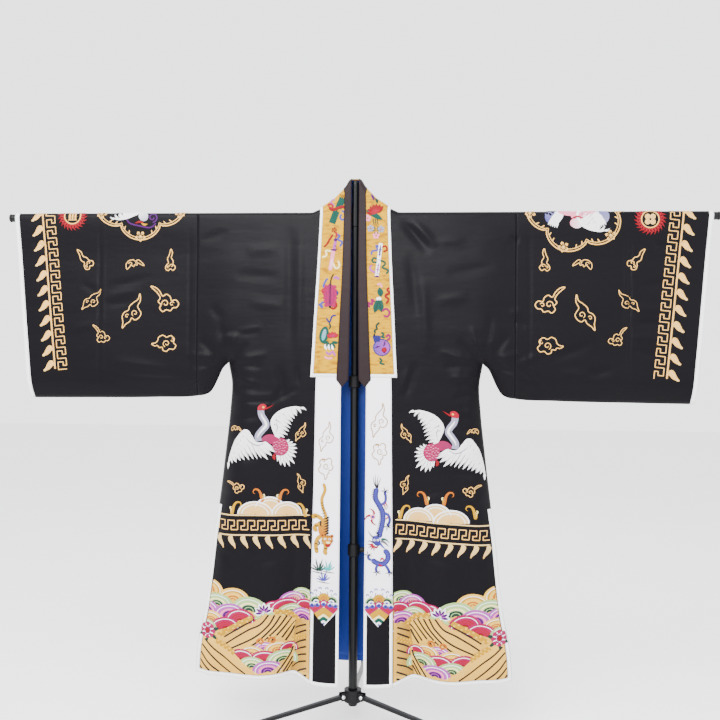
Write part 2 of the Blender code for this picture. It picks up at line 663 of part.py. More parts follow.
def build_legs():
    """Hub with three forks, and a leg, a pin and a foot for each."""
    hub_mesh = bpy.data.meshes.new("hub")
    bm = bmesh.new()
    bmesh.ops.create_cone(
        bm, cap_ends=True, segments=24, radius1=HUB_RADIUS, radius2=HUB_RADIUS, depth=HUB_LENGTH,
    )
    bm.to_mesh(hub_mesh)
    bm.free()
    hub = place("hub", hub_mesh, "stand_black")
    hub.location = (0.0, 0.0, HUB_Z)
    pin_radius_at = (HUB_RADIUS + LUG_REACH) / 2 + 0.001
    span = LEG_WIDTH + 2 * (LUG_WALL + SEAM)
    for word, angle in LEG_ANGLES.items():
        turn = math.radians(angle)
        outward = Vector((math.cos(turn), math.sin(turn), 0.0))
        sideways = Vector((-math.sin(turn), math.cos(turn), 0.0))
        pin_centre = outward * pin_radius_at + Vector((0.0, 0.0, HUB_Z))
        for sign in (-1, 1):
            offset = sideways * sign * (LEG_WIDTH / 2 + SEAM + LUG_WALL / 2)
            length = LUG_REACH - HUB_RADIUS / 2
            centre = outward * (HUB_RADIUS / 2 + length / 2) + offset + Vector((0.0, 0.0, HUB_Z))
            size = (length, LUG_WALL, LUG_HEIGHT)
            lug = box(f"lug_{word}_{sign + 1}", size, centre, turn, "stand_black", CUTTERS)
            boolean(hub, as_guide(lug), "UNION")
        cutter = pin_cutter("pin_hole_" + word, pin_centre, turn, 2 * span)
        boolean(hub, cutter, "DIFFERENCE")

        curve = bpy.data.curves.new("leg_" + word, "CURVE")
        curve.dimensions = "2D"
        curve.fill_mode = "BOTH"
        curve.extrude = LEG_WIDTH / 2
        outline = leg_outline()
        spline = curve.splines.new("POLY")
        spline.points.add(len(outline) - 1)
        for point, (radius, height) in zip(spline.points, outline):
            point.co = (radius, height, 0.0, 1.0)
        spline.use_cyclic_u = True
        flat = bpy.data.objects.new("leg_outline_" + word, curve)
        CUTTERS.objects.link(flat)
        flat.parent = ROOT
        flat.rotation_euler = (math.radians(90.0), 0.0, turn)
        bpy.context.view_layer.update()
        evaluated = flat.evaluated_get(bpy.context.evaluated_depsgraph_get())
        mesh = bpy.data.meshes.new_from_object(evaluated)
        bm = bmesh.new()
        bm.from_mesh(mesh)
        bmesh.ops.remove_doubles(bm, verts=bm.verts[:], dist=0.00001)
        bm.to_mesh(mesh)
        bm.free()
        leg = place("leg_" + word, mesh, "stand_black")
        leg.rotation_euler = flat.rotation_euler
        bpy.data.objects.remove(flat)
        boolean(leg, cutter, "DIFFERENCE")

        pin = turned("rivet_" + word, pin_profile(span), "rivet_steel", 12)
        pin.location = pin_centre
        pin.rotation_euler = (math.radians(90.0), 0.0, turn)
        foot = tube("foot_" + word, FOOT_RADIUS, 0.0, FOOT_HEIGHT, "foot_rubber", 0.0015)
        foot.location = outward * (LEG_REACH - LEG_TIP / 2)


def pin_profile(span):
    """A rivet with a low round head on each end."""
    half = span / 2 + SEAM
    return [
        (0.0, half + 0.0020), (PIN_HEAD * 0.7, half + 0.0014), (PIN_HEAD, half),
        (PIN_RADIUS, half), (PIN_RADIUS, -half), (PIN_HEAD, -half),
        (PIN_HEAD * 0.7, -half - 0.0014), (0.0, -half - 0.0020),
    ]


for old in list(bpy.data.objects):
    bpy.data.objects.remove(old)
PARTS = bpy.data.collections.new("Taoist robe on a tee stand")
CUTTERS = bpy.data.collections.new("Cutters")
bpy.context.scene.collection.children.link(PARTS)
bpy.context.scene.collection.children.link(CUTTERS)
ROOT = bpy.data.objects.new("robe_and_stand", None)
ROOT.location = (0.0, POST_Y, 0.0)
PARTS.objects.link(ROOT)

build_cloth()
build_post()
build_crossbar()
build_legs()
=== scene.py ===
"""Taoist robe on a tee stand: cloth, embroidery, finishes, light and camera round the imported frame.

Metres, +Z up. The robe faces -Y. A place on the cloth is given by x, the distance from the centre (below zero
at the left of the picture), and by run, the way up the cloth, which equals the height as far as the bar.
"""

import json
import logging
import math
from collections.abc import Iterable, Sequence
from dataclasses import dataclass
from enum import Enum
from typing import NamedTuple

import bpy
import numpy as np
from mathutils import Euler, Vector
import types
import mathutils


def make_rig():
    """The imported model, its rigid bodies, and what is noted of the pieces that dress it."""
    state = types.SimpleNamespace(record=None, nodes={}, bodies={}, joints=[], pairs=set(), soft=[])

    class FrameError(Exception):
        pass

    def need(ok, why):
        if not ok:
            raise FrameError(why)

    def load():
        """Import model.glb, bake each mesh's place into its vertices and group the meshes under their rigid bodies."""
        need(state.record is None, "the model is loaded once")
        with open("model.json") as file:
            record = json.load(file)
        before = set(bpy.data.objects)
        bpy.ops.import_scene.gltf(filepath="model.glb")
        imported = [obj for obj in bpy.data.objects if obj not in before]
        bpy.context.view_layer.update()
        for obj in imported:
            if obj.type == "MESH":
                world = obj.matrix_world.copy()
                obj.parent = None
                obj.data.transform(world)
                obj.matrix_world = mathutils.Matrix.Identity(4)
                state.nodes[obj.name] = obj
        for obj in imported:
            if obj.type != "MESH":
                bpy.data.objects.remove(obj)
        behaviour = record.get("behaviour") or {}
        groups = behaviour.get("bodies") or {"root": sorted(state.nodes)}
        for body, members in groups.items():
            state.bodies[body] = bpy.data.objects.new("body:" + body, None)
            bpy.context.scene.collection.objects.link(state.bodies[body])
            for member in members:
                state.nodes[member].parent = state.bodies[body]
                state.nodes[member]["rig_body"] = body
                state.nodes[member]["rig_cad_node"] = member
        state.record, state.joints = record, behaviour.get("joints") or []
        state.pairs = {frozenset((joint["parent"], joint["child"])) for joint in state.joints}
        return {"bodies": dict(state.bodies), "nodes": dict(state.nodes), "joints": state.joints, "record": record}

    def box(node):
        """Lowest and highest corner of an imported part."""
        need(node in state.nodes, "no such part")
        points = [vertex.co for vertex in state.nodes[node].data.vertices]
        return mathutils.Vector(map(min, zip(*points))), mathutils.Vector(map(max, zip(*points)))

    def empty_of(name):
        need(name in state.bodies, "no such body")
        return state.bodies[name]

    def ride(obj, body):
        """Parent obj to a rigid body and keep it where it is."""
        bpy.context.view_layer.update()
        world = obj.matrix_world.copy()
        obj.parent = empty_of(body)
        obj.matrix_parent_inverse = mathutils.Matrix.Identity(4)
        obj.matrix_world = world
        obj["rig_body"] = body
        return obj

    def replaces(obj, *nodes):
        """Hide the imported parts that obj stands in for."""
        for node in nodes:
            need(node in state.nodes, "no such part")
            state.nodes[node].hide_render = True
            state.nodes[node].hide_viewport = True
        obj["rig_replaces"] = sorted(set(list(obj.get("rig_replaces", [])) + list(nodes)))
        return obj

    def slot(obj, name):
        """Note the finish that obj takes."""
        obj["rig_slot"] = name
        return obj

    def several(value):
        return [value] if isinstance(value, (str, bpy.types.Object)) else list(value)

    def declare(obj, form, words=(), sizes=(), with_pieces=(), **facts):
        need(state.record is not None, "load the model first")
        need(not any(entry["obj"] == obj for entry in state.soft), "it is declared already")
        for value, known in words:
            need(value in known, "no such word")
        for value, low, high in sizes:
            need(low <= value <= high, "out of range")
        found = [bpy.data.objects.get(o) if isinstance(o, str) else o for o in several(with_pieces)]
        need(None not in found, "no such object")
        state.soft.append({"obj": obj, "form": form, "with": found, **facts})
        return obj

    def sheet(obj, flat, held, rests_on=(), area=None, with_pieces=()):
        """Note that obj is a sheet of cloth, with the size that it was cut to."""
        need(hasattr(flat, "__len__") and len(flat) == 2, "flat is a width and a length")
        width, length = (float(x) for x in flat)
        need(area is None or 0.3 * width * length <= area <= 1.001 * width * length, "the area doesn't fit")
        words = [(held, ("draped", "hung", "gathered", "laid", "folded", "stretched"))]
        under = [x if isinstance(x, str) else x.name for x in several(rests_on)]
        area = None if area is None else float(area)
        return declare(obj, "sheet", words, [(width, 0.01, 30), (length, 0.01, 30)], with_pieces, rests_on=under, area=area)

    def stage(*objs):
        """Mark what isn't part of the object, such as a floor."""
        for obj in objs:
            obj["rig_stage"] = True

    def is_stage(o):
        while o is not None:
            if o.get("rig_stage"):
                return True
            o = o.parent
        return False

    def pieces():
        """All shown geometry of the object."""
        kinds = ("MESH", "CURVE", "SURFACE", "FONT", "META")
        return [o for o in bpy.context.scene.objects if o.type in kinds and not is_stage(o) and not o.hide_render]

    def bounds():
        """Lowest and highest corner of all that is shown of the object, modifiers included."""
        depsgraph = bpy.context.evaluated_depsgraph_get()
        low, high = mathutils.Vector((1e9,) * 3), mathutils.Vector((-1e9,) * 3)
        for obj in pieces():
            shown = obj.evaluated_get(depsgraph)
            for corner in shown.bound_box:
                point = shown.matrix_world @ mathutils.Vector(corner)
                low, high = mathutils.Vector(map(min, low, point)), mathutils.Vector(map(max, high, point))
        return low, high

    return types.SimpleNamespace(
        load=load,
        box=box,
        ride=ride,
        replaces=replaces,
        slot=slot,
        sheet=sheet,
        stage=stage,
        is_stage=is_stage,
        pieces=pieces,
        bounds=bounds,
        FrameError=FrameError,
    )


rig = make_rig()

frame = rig.load()
CAD_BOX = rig.bounds()
log = logging.getLogger("robe")

MM = 0.001
BODY = "root"
THREAD = "thread_colour"
SIZES_FILE = "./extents.json"

Colour = tuple[float, float, float]
Array = np.ndarray
Points = Sequence[Sequence[float]]
Socket = bpy.types.NodeSocket


def table(at: Array, xs: Sequence[float], ys: Sequence[float]) -> Array:
    """Read a smooth curve through a short table, level beyond its ends.

    Args:
        at: Where the curve is read.
        xs: The table's places, in rising order.
        ys: The table's values.

    Returns:
        The curve's values.
    """
    xs = np.asarray(xs, float)
    ys = np.asarray(ys, float)
    slopes = np.gradient(ys, xs)
    at = np.clip(at, xs[0], xs[-1])
    i = np.clip(np.searchsorted(xs, at, side="right") - 1, 0, len(xs) - 2)
    span = xs[i + 1] - xs[i]
    t = (at - xs[i]) / span
    start = ys[i] * (2 * t**3 - 3 * t**2 + 1) + span * slopes[i] * (t**3 - 2 * t**2 + t)
    return start + ys[i + 1] * (3 * t**2 - 2 * t**3) + span * slopes[i + 1] * (t**3 - t**2)


def ease(t: Array) -> Array:
    """Soft step from 0 to 1."""
    t = np.clip(t, 0.0, 1.0)
    return t * t * (3 - 2 * t)


def segment_distance(x: Array, z: Array, start: Sequence[float], end: Sequence[float]) -> tuple[Array, Array]:
    """Find the shortest way from each point to a straight line.

    Args:
        x: Places across.
        z: Heights.
        start: One end of the line.
        end: Its other end.

    Returns:
        The distance, and the share along the line where it is shortest.
    """
    dx, dz = end[0] - start[0], end[1] - start[1]
    along = np.clip(((x - start[0]) * dx + (z - start[1]) * dz) / (dx * dx + dz * dz), 0, 1)
    return np.hypot(x - start[0] - along * dx, z - start[1] - along * dz), along


class Layer(Enum):
    """Front or back of the robe, with the way it faces along Y."""

    FRONT = -1
    BACK = 1

    def other(self) -> "Layer":
        """The opposite layer."""
        return Layer(-self.value)


class Side(Enum):
    """Left or right in the picture, with its sign along X."""

    LEFT = -1
    RIGHT = 1


FRONT, BACK = Layer
LEFT, RIGHT = Side


class BodyRow(NamedTuple):
    """One height of the body: the opening's edge, the side, and how far the walls stand off the post."""

    height: float
    edge: float
    side: float
    front: float
    back: float
    front_side: float
    back_side: float


class Fold(NamedTuple):
    """A fold that falls to the hem. Positive depth stands out."""

    layer: Layer
    sides: tuple[Side, ...]
    hem_x: float
    top_x: float
    top_height: float
    width: float
    depth: float


class Crease(NamedTuple):
    """A soft trough or ridge along a line on the cloth. Positive depth stands out."""

    x1: float
    run1: float
    x2: float
    run2: float
    width: float
    depth: float


BAR = ("crossbar_left", "crossbar_right")
CLOTH = 1.5 * MM
TAPE = 1.0 * MM
SEAM = 0.3 * MM
LAYER = 0.6 * MM
LEVEL = TAPE + LAYER
LINING_EASE = 1.6 * MM
SIDE_SEAM = CLOTH + SEAM / 2
BAR_RADIUS = 0.0108
BAR_EASE = 0.0005
FOLD_RADIUS = BAR_RADIUS + BAR_EASE + CLOTH
BAR_Z = 1.396
POST_Y = sum(corner.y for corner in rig.box(BAR[0])) / 2
HEM = {FRONT: 0.128, BACK: 0.145}
UNDERARM = 0.995
UNDERARM_X = 0.3505
SLIT_TOP = 0.600
JOIN_X = 0.436
JOIN_FOOT = 0.906
CUFF_TOP_X = 0.957
CUFF_FOOT_X = 0.915
COLLAR_FOOT = 0.957

BOTH = (LEFT, RIGHT)
S = SIDE_SEAM
R = FOLD_RADIUS
BODY_ROWS = (
    BodyRow(0.118, 0.0345, 0.4350, 0.0600, 0.0740, 0.0300, 0.0350),
    BodyRow(0.200, 0.0345, 0.4300, 0.0580, 0.0720, 0.0270, 0.0310),
    BodyRow(0.320, 0.0345, 0.4090, 0.0540, 0.0670, 0.0210, 0.0240),
    BodyRow(0.410, 0.0345, 0.3985, 0.0510, 0.0620, 0.0150, 0.0170),
    BodyRow(0.510, 0.0345, 0.3885, 0.0465, 0.0560, 0.0070, 0.0080),
    BodyRow(0.600, 0.0345, 0.3765, 0.0430, 0.0510, S, S),
    BodyRow(0.750, 0.0345, 0.3580, 0.0390, 0.0450, S, S),
    BodyRow(0.860, 0.0345, 0.3460, 0.0365, 0.0410, S, S),
    BodyRow(0.940, 0.0340, 0.3415, 0.0345, 0.0370, S, S),
    BodyRow(0.995, 0.0310, 0.3505, 0.0330, 0.0350, S, S),
    BodyRow(1.130, 0.0245, 0.3505, 0.0280, 0.0300, S, S),
    BodyRow(1.270, 0.0170, 0.3505, 0.0205, 0.0220, S, S),
    BodyRow(1.335, 0.0140, 0.3505, 0.0165, 0.0175, S, S),
    BodyRow(1.396, 0.0115, 0.3505, R, R, S, S),
)
SLEEVE_EDGE_X = (0.3505, 0.3690, 0.3830, 0.3990, 0.4180, 0.4360, 0.5500, 0.7500, 0.9600)
SLEEVE_EDGE_Z = (0.995, 0.976, 0.945, 0.916, 0.904, 0.901, 0.896, 0.893, 0.891)
FOLDS = (
    Fold(FRONT, BOTH, 0.070, 0.060, 0.85, 0.060, 0.014),
    Fold(FRONT, (RIGHT,), 0.170, 0.150, 0.78, 0.036, -0.030),
    Fold(FRONT, (LEFT,), 0.158, 0.145, 0.74, 0.034, -0.034),
    Fold(FRONT, (RIGHT,), 0.262, 0.225, 0.86, 0.046, 0.013),
    Fold(FRONT, (LEFT,), 0.248, 0.215, 0.82, 0.044, 0.012),
    Fold(FRONT, BOTH, 0.352, 0.315, 0.55, 0.034, -0.012),
    Fold(BACK, BOTH, 0.105, 0.085, 0.92, 0.045, 0.014),
    Fold(BACK, (RIGHT,), 0.190, 0.165, 0.80, 0.038, -0.022),
    Fold(BACK, (LEFT,), 0.202, 0.170, 0.84, 0.038, -0.020),
    Fold(BACK, BOTH, 0.290, 0.250, 0.90, 0.044, 0.014),
    Fold(BACK, BOTH, 0.365, 0.325, 0.55, 0.030, -0.010),
)
RISE_X = (0.000, 0.012, 0.024, 0.055, 0.093, 0.118)
RISE_Z = (0.0880, 0.0880, 0.0680, 0.0370, 0.0115, 0.000)
RISE_FROM = 1.200
HEM_X = (0.034, 0.110, 0.165, 0.250, 0.350, 0.430)
HEM_DIP = {
    FRONT: (-0.010, -0.006, 0.010, 0.006, 0.004, 0.010),
    BACK: (0.002, 0.001, -0.002, 0.003, 0.001, -0.004),
}
HEM_DIP_REACH = 0.600
SEAM_PULL = 0.065
FLAT_SHARE = 0.30
FLAT_FROM_X = 0.33
FLAT_OVER_X = 0.15
FLAT_OVER_Z = 0.12
CREASE_CLEAR = 0.045
FAR = 9.0
BAND_HEIGHTS = (0.118, 0.320, 0.955, 1.396)
BAND_WIDTHS = (0.0770, 0.0760, 0.0690, 0.0680)
BEYOND_BAND = 0.020


def drawn(rows: Iterable[tuple[float, ...]]) -> tuple[Crease, ...]:
    """Creases from rows of x1, run1, x2, run2, width and depth, the last two in millimetres."""
    return tuple(Crease(*row[:4], row[4] * MM, row[5] * MM) for row in rows)


CREASES = {
    FRONT: drawn((
        (-0.712, 0.900, -0.712, 1.390, 4, -3.2), (-0.705, 0.900, -0.705, 1.390, 5, 1.6),
        (-0.458, 0.905, -0.459, 1.385, 3, -2.2), (-0.700, 1.200, -0.560, 1.232, 9, -2.0),
        (-0.705, 1.172, -0.590, 1.196, 8, 1.8), (-0.700, 1.150, -0.610, 1.166, 8, -2.2),
        (-0.770, 1.215, -0.716, 1.185, 8, -2.0), (-0.800, 1.080, -0.720, 1.100, 10, 1.8),
        (-0.690, 1.000, -0.520, 0.975, 12, 2.4), (-0.640, 0.965, -0.430, 0.955, 10, -2.8),
        (-0.800, 0.960, -0.640, 0.940, 12, -2.4), (-0.910, 1.330, -0.840, 1.300, 10, -2.2),
        (-0.365, 1.000, -0.430, 1.060, 9, -4.0), (-0.362, 1.000, -0.470, 1.020, 8, 3.2),
        (-0.365, 0.992, -0.450, 0.985, 8, -3.4), (-0.352, 1.006, -0.372, 1.110, 9, -3.4),
        (-0.345, 1.006, -0.325, 1.080, 8, 3.2), (-0.340, 1.002, -0.292, 1.048, 8, -4.0),
        (-0.338, 0.998, -0.235, 1.020, 9, 3.4), (-0.336, 0.990, -0.250, 0.984, 8, -3.8),
        (-0.376, 1.060, -0.250, 1.095, 9, 2.6), (-0.372, 1.075, -0.255, 1.078, 8, -2.6),
        (-0.400, 1.150, -0.360, 1.110, 9, -3.0), (-0.335, 0.955, -0.270, 0.938, 8, 3.0),
        (-0.338, 0.925, -0.260, 0.925, 8, -3.2), (-0.340, 0.885, -0.285, 0.893, 8, 2.6),
        (-0.340, 0.840, -0.250, 0.850, 9, -2.8), (-0.350, 0.780, -0.290, 0.772, 9, 2.6),
        (-0.355, 0.720, -0.250, 0.738, 10, -2.8), (-0.370, 0.640, -0.280, 0.650, 9, 2.4),
        (-0.343, 0.889, -0.200, 0.891, 5, -3.6), (-0.215, 0.890, -0.150, 0.928, 5, -3.2),
        (-0.330, 0.903, -0.215, 0.904, 7, 2.2), (-0.150, 0.930, -0.158, 0.990, 6, -2.6),
        (-0.205, 0.990, -0.190, 0.890, 12, -3.4), (-0.180, 1.390, -0.175, 1.000, 14, -2.6),
        (-0.150, 1.380, -0.152, 0.990, 12, 2.2), (-0.190, 0.935, -0.235, 0.860, 9, -3.4),
        (-0.165, 0.470, -0.300, 0.440, 12, -3.0), (-0.210, 0.455, -0.140, 0.500, 10, 2.8),
        (-0.370, 0.470, -0.290, 0.445, 11, -2.8), (-0.330, 0.500, -0.290, 0.475, 8, 2.4),
        (-0.300, 1.300, -0.205, 1.310, 14, 1.8), (-0.330, 1.235, -0.200, 1.230, 13, -1.8),
        (-0.290, 1.160, -0.190, 1.150, 12, 1.6), (-0.430, 1.330, -0.350, 1.355, 11, -2.0),
        (0.736, 0.900, 0.738, 1.385, 4, -3.2), (0.730, 0.900, 0.731, 1.385, 5, 1.6),
        (0.473, 0.905, 0.472, 1.385, 3, -2.0), (0.880, 1.220, 0.760, 1.205, 9, -2.4),
        (0.870, 1.140, 0.745, 1.150, 8, 2.4), (0.840, 1.110, 0.748, 1.105, 8, -2.8),
        (0.850, 1.060, 0.745, 1.075, 9, 2.6), (0.820, 1.020, 0.750, 1.035, 8, -2.6),
        (0.700, 0.985, 0.610, 0.960, 9, -3.4), (0.660, 0.960, 0.560, 0.975, 10, 2.8),
        (0.520, 0.930, 0.440, 0.990, 9, -3.6), (0.500, 1.020, 0.440, 0.995, 8, 3.0),
        (0.470, 1.095, 0.430, 1.115, 7, -3.0), (0.455, 1.140, 0.420, 1.135, 7, 2.4),
        (0.900, 1.330, 0.850, 1.305, 9, -2.4), (0.850, 1.315, 0.800, 1.312, 8, -2.8),
        (0.420, 1.330, 0.445, 1.335, 8, -3.0), (0.640, 1.050, 0.530, 1.010, 11, -2.2),
        (0.362, 1.000, 0.420, 1.080, 9, -4.2), (0.362, 0.996, 0.455, 1.030, 8, 3.4),
        (0.365, 0.990, 0.440, 0.975, 8, -3.6), (0.350, 1.006, 0.372, 1.130, 9, -3.6),
        (0.345, 1.006, 0.318, 1.100, 8, 3.4), (0.340, 1.002, 0.280, 1.060, 8, -4.2),
        (0.338, 0.998, 0.230, 1.030, 9, 3.6), (0.336, 0.990, 0.245, 0.990, 8, -4.0),
        (0.335, 0.955, 0.255, 0.960, 8, 3.2), (0.338, 0.915, 0.270, 0.900, 8, -3.4),
        (0.340, 0.870, 0.290, 0.862, 8, 2.8), (0.345, 0.810, 0.260, 0.825, 9, -3.0),
        (0.350, 0.760, 0.280, 0.748, 9, 2.6), (0.360, 0.690, 0.270, 0.705, 10, -3.0),
        (0.372, 0.630, 0.290, 0.622, 9, 2.6), (0.120, 1.400, 0.205, 1.295, 13, -5.0),
        (0.135, 1.408, 0.222, 1.312, 12, 4.0), (0.150, 1.300, 0.172, 1.120, 14, -2.8),
        (0.185, 1.230, 0.200, 1.020, 13, 2.4), (0.170, 1.000, 0.140, 0.905, 10, -3.4),
        (0.150, 0.985, 0.128, 0.910, 9, 2.8), (0.300, 1.330, 0.215, 1.325, 13, 1.8),
        (0.380, 1.260, 0.250, 1.240, 14, -2.2), (0.310, 1.180, 0.220, 1.165, 12, 1.8),
        (0.200, 0.480, 0.310, 0.450, 12, -3.0), (0.150, 0.470, 0.225, 0.440, 10, 2.6),
        (0.370, 0.480, 0.290, 0.462, 11, -2.6), (0.180, 0.640, 0.250, 0.655, 9, -2.2),
    )),
    BACK: drawn((
        (-0.715, 0.900, -0.712, 1.390, 4, -3.0), (0.730, 0.900, 0.732, 1.390, 4, -3.0),
        (-0.362, 1.000, -0.430, 1.070, 9, -4.0), (-0.362, 0.996, -0.460, 1.010, 8, 3.2),
        (-0.340, 1.002, -0.270, 1.075, 9, -4.2), (-0.338, 0.996, -0.220, 1.028, 9, 3.4),
        (-0.336, 0.985, -0.240, 0.975, 8, -3.8), (-0.338, 0.930, -0.265, 0.940, 8, 3.0),
        (-0.342, 0.870, -0.250, 0.858, 9, -3.2), (-0.350, 0.790, -0.275, 0.800, 9, 2.8),
        (-0.360, 0.700, -0.255, 0.690, 10, -2.8), (-0.690, 1.180, -0.560, 1.215, 10, -2.4),
        (-0.830, 1.090, -0.740, 1.070, 10, 2.4), (-0.660, 0.970, -0.480, 0.960, 11, -3.0),
        (0.362, 1.000, 0.415, 1.085, 9, -4.2), (0.362, 0.996, 0.465, 1.022, 8, 3.2),
        (0.340, 1.002, 0.285, 1.070, 9, -4.0), (0.338, 0.996, 0.228, 1.034, 9, 3.6),
        (0.336, 0.985, 0.250, 0.970, 8, -3.8), (0.338, 0.925, 0.272, 0.918, 8, 3.0),
        (0.342, 0.860, 0.262, 0.875, 9, -3.0), (0.352, 0.770, 0.285, 0.760, 9, 2.6),
        (0.362, 0.680, 0.262, 0.692, 10, -2.8), (0.870, 1.200, 0.760, 1.180, 10, -2.6),
        (0.700, 1.060, 0.590, 1.030, 11, 2.4), (0.620, 0.960, 0.500, 0.985, 11, -3.0),
        (-0.110, 1.390, -0.150, 1.180, 14, -3.2), (0.115, 1.390, 0.160, 1.160, 14, -3.4),
        (-0.050, 1.270, -0.056, 1.040, 16, 2.4), (0.060, 1.250, 0.050, 1.020, 16, -2.4),
        (-0.280, 1.290, -0.180, 1.270, 14, 2.0), (0.300, 1.300, 0.190, 1.285, 14, -2.0),
        (-0.120, 0.900, 0.060, 0.880, 16, -2.2), (-0.040, 0.690, 0.130, 0.705, 15, 2.2),
        (-0.310, 0.470, -0.180, 0.500, 12, -2.8), (0.180, 0.520, 0.310, 0.480, 12, 2.8),
    )),
}


class Drape:
    """The form of the cloth over the bar: the solids' own surface, with creases."""

    def __init__(self) -> None:
        """Work out the line of the side and sleeve seams."""
        side = [(float(self.row("side", h)), h) for h in (r.height for r in BODY_ROWS) if h < UNDERARM]
        self.seams = side + list(zip(SLEEVE_EDGE_X, SLEEVE_EDGE_Z))

    @staticmethod
    def row(name: str, height: Array) -> Array:
        """One column of the body table, read at a height."""
        return table(height, [r.height for r in BODY_ROWS], [getattr(r, name) for r in BODY_ROWS])

    @staticmethod
    def sleeve_foot(x: Array) -> Array:
        """Height of the sleeve's lower edge."""
        return table(x, SLEEVE_EDGE_X, SLEEVE_EDGE_Z)

    @staticmethod
    def top(x: Array) -> Array:
        """Where the wall ends and the turn over the bar starts."""
        return BAR_Z + np.interp(np.abs(x), RISE_X, RISE_Z)

    @staticmethod
    def run(layer: Layer, x: Array, height: Array) -> Array:
        """Turn a row's height into the way up the cloth at x, with the hem's dip and the rise at the post.

        Args:
            layer: Front or back.
            x: Distance from the centre.
            height: The row's height, over BAR_Z where the row lies on the turn.

        Returns:
            The way up the cloth.
        """
        dip = np.interp(np.abs(x), HEM_X, HEM_DIP[layer])
        rise = np.interp(np.abs(x), RISE_X, RISE_Z)
        low = dip * (1 - np.clip((height - HEM[layer]) / HEM_DIP_REACH, 0, 1)) ** 2
        return height + low + rise * ease((height - RISE_FROM) / (BAR_Z - RISE_FROM))

    def depth(self, layer: Layer, x: Array, z: Array) -> Array:
        """How far the outer face stands off the post's axis, below the turn.

        Args:
            layer: Front or back.
            x: Distance from the centre.
            z: Height.

        Returns:
            The distance along Y, without its sign.
        """
        ax = np.abs(x)
        off = np.full(np.shape(x), FAR)
        for start, end in zip(self.seams[:-1], self.seams[1:]):
            off = np.minimum(off, segment_distance(ax, z, start, end)[0])
        fullness = 1 - (1 - np.clip(off / SEAM_PULL, 0, 1)) ** 2
        word = layer.name.lower()
        flat = 1 - FLAT_SHARE * ease((ax - FLAT_FROM_X) / FLAT_OVER_X) * ease((BAR_Z - z) / FLAT_OVER_Z)
        at_side = self.row(word + "_side", z)
        depth = at_side + (self.row(word, z) * flat - at_side) * fullness
        low = HEM[FRONT]
        for fold in (f for f in FOLDS if f.layer == layer):
            sides = np.isin(np.where(x < 0, -1, 1), [side.value for side in fold.sides])
            fall = ease((fold.top_height - z) / (fold.top_height - low))
            middle = fold.hem_x + (fold.top_x - fold.hem_x) * (z - low) / (fold.top_height - low)
            bell = np.exp(-(((ax - middle) / fold.width) ** 2))
            depth = depth + sides * fold.depth * fall * fullness * bell
        quiet = fullness * ease((self.top(x) - z) / CREASE_CLEAR)
        for crease in CREASES[layer]:
            near, along = segment_distance(x, z, crease[:2], crease[2:4])
            arch = 1 - (2 * along - 1) ** 2
            depth = depth + quiet * arch * crease.depth * np.exp(-((near / crease.width) ** 2))
        return depth

    def face(self, layer: Layer, x: Array, run: Array) -> Array:
        """Points of the cloth's outer face.

        Args:
            layer: The layer that run is counted on. Past the bar the cloth goes on down the other one.
            x: Distance from the centre.
            run: The way up the cloth.

        Returns:
            An array of points.
        """
        top = self.top(x)
        turn = (run - top) / R
        past = np.maximum(run - top - math.pi * R, 0)
        own = layer.value * self.depth(layer, x, np.minimum(run, top))
        over = layer.value * R * np.cos(np.clip(turn, 0, math.pi))
        far = over
        if np.any(past > 0):
            far = np.where(past > 0, -layer.value * self.depth(layer.other(), x, top - past), over)
        y = np.where(turn <= 0, own, far)
        z = np.where(turn <= 0, run, top + R * np.sin(np.clip(turn, 0, math.pi)) - past)
        return np.stack([x, y + POST_Y, z], axis=-1)

    def lay(self, layer: Layer, x: Array, run: Array, lift: Array | float) -> tuple[Array, Array]:
        """Points moved out from the cloth.

        Args:
            layer: The layer that run is counted on.
            x: Distance from the centre.
            run: The way up the cloth.
            lift: How far the points lie over the outer face.

        Returns:
            The points and the way out at each.
        """
        step = 1.2 * MM
        across = self.face(layer, x + step, run) - self.face(layer, x - step, run)
        upward = self.face(layer, x, run + step) - self.face(layer, x, run - step)
        out = np.cross(across, upward) * -layer.value
        out /= np.maximum(np.linalg.norm(out, axis=-1, keepdims=True), 1e-12)
        lift = np.broadcast_to(lift, np.shape(x))[..., None]
        return self.face(layer, x, run) + out * lift, out


DRAPE = Drape()


class Value:
    """A number socket that takes part in Python arithmetic."""

    def __init__(self, dye: "Dye", socket: Socket) -> None:
        """Wrap an output socket of a dye's node tree."""
        self.dye = dye
        self.socket = socket

    def math(self, operation: str, *terms: "Value | float") -> "Value":
        """Add a Math node.

        Args:
            operation: The node's operation.
            terms: Its inputs, in order.

        Returns:
            The result.
        """
        made = self.dye.node("ShaderNodeMath", {"operation": operation}, dict(enumerate(terms)))
        return Value(self.dye, made.outputs[0])

    def __add__(self, other: "Value | float") -> "Value":
        """Sum."""
        return self.math("ADD", self, other)

    def __radd__(self, other: float) -> "Value":
        """Sum with a number first."""
        return self.math("ADD", other, self)

    def __sub__(self, other: "Value | float") -> "Value":
        """Difference."""
        return self.math("SUBTRACT", self, other)

    def __rsub__(self, other: float) -> "Value":
        """Difference with a number first."""
        return self.math("SUBTRACT", other, self)

    def __mul__(self, other: "Value | float") -> "Value":
        """Product."""
        return self.math("MULTIPLY", self, other)

    def __rmul__(self, other: float) -> "Value":
        """Product with a number first."""
        return self.math("MULTIPLY", other, self)

    def sine(self) -> "Value":
        """Sine of an angle in radians."""
        return self.math("SINE", self)

    def apart(self, power: float) -> "Value":
        """Raise to a power."""
        return self.math("POWER", self, power)


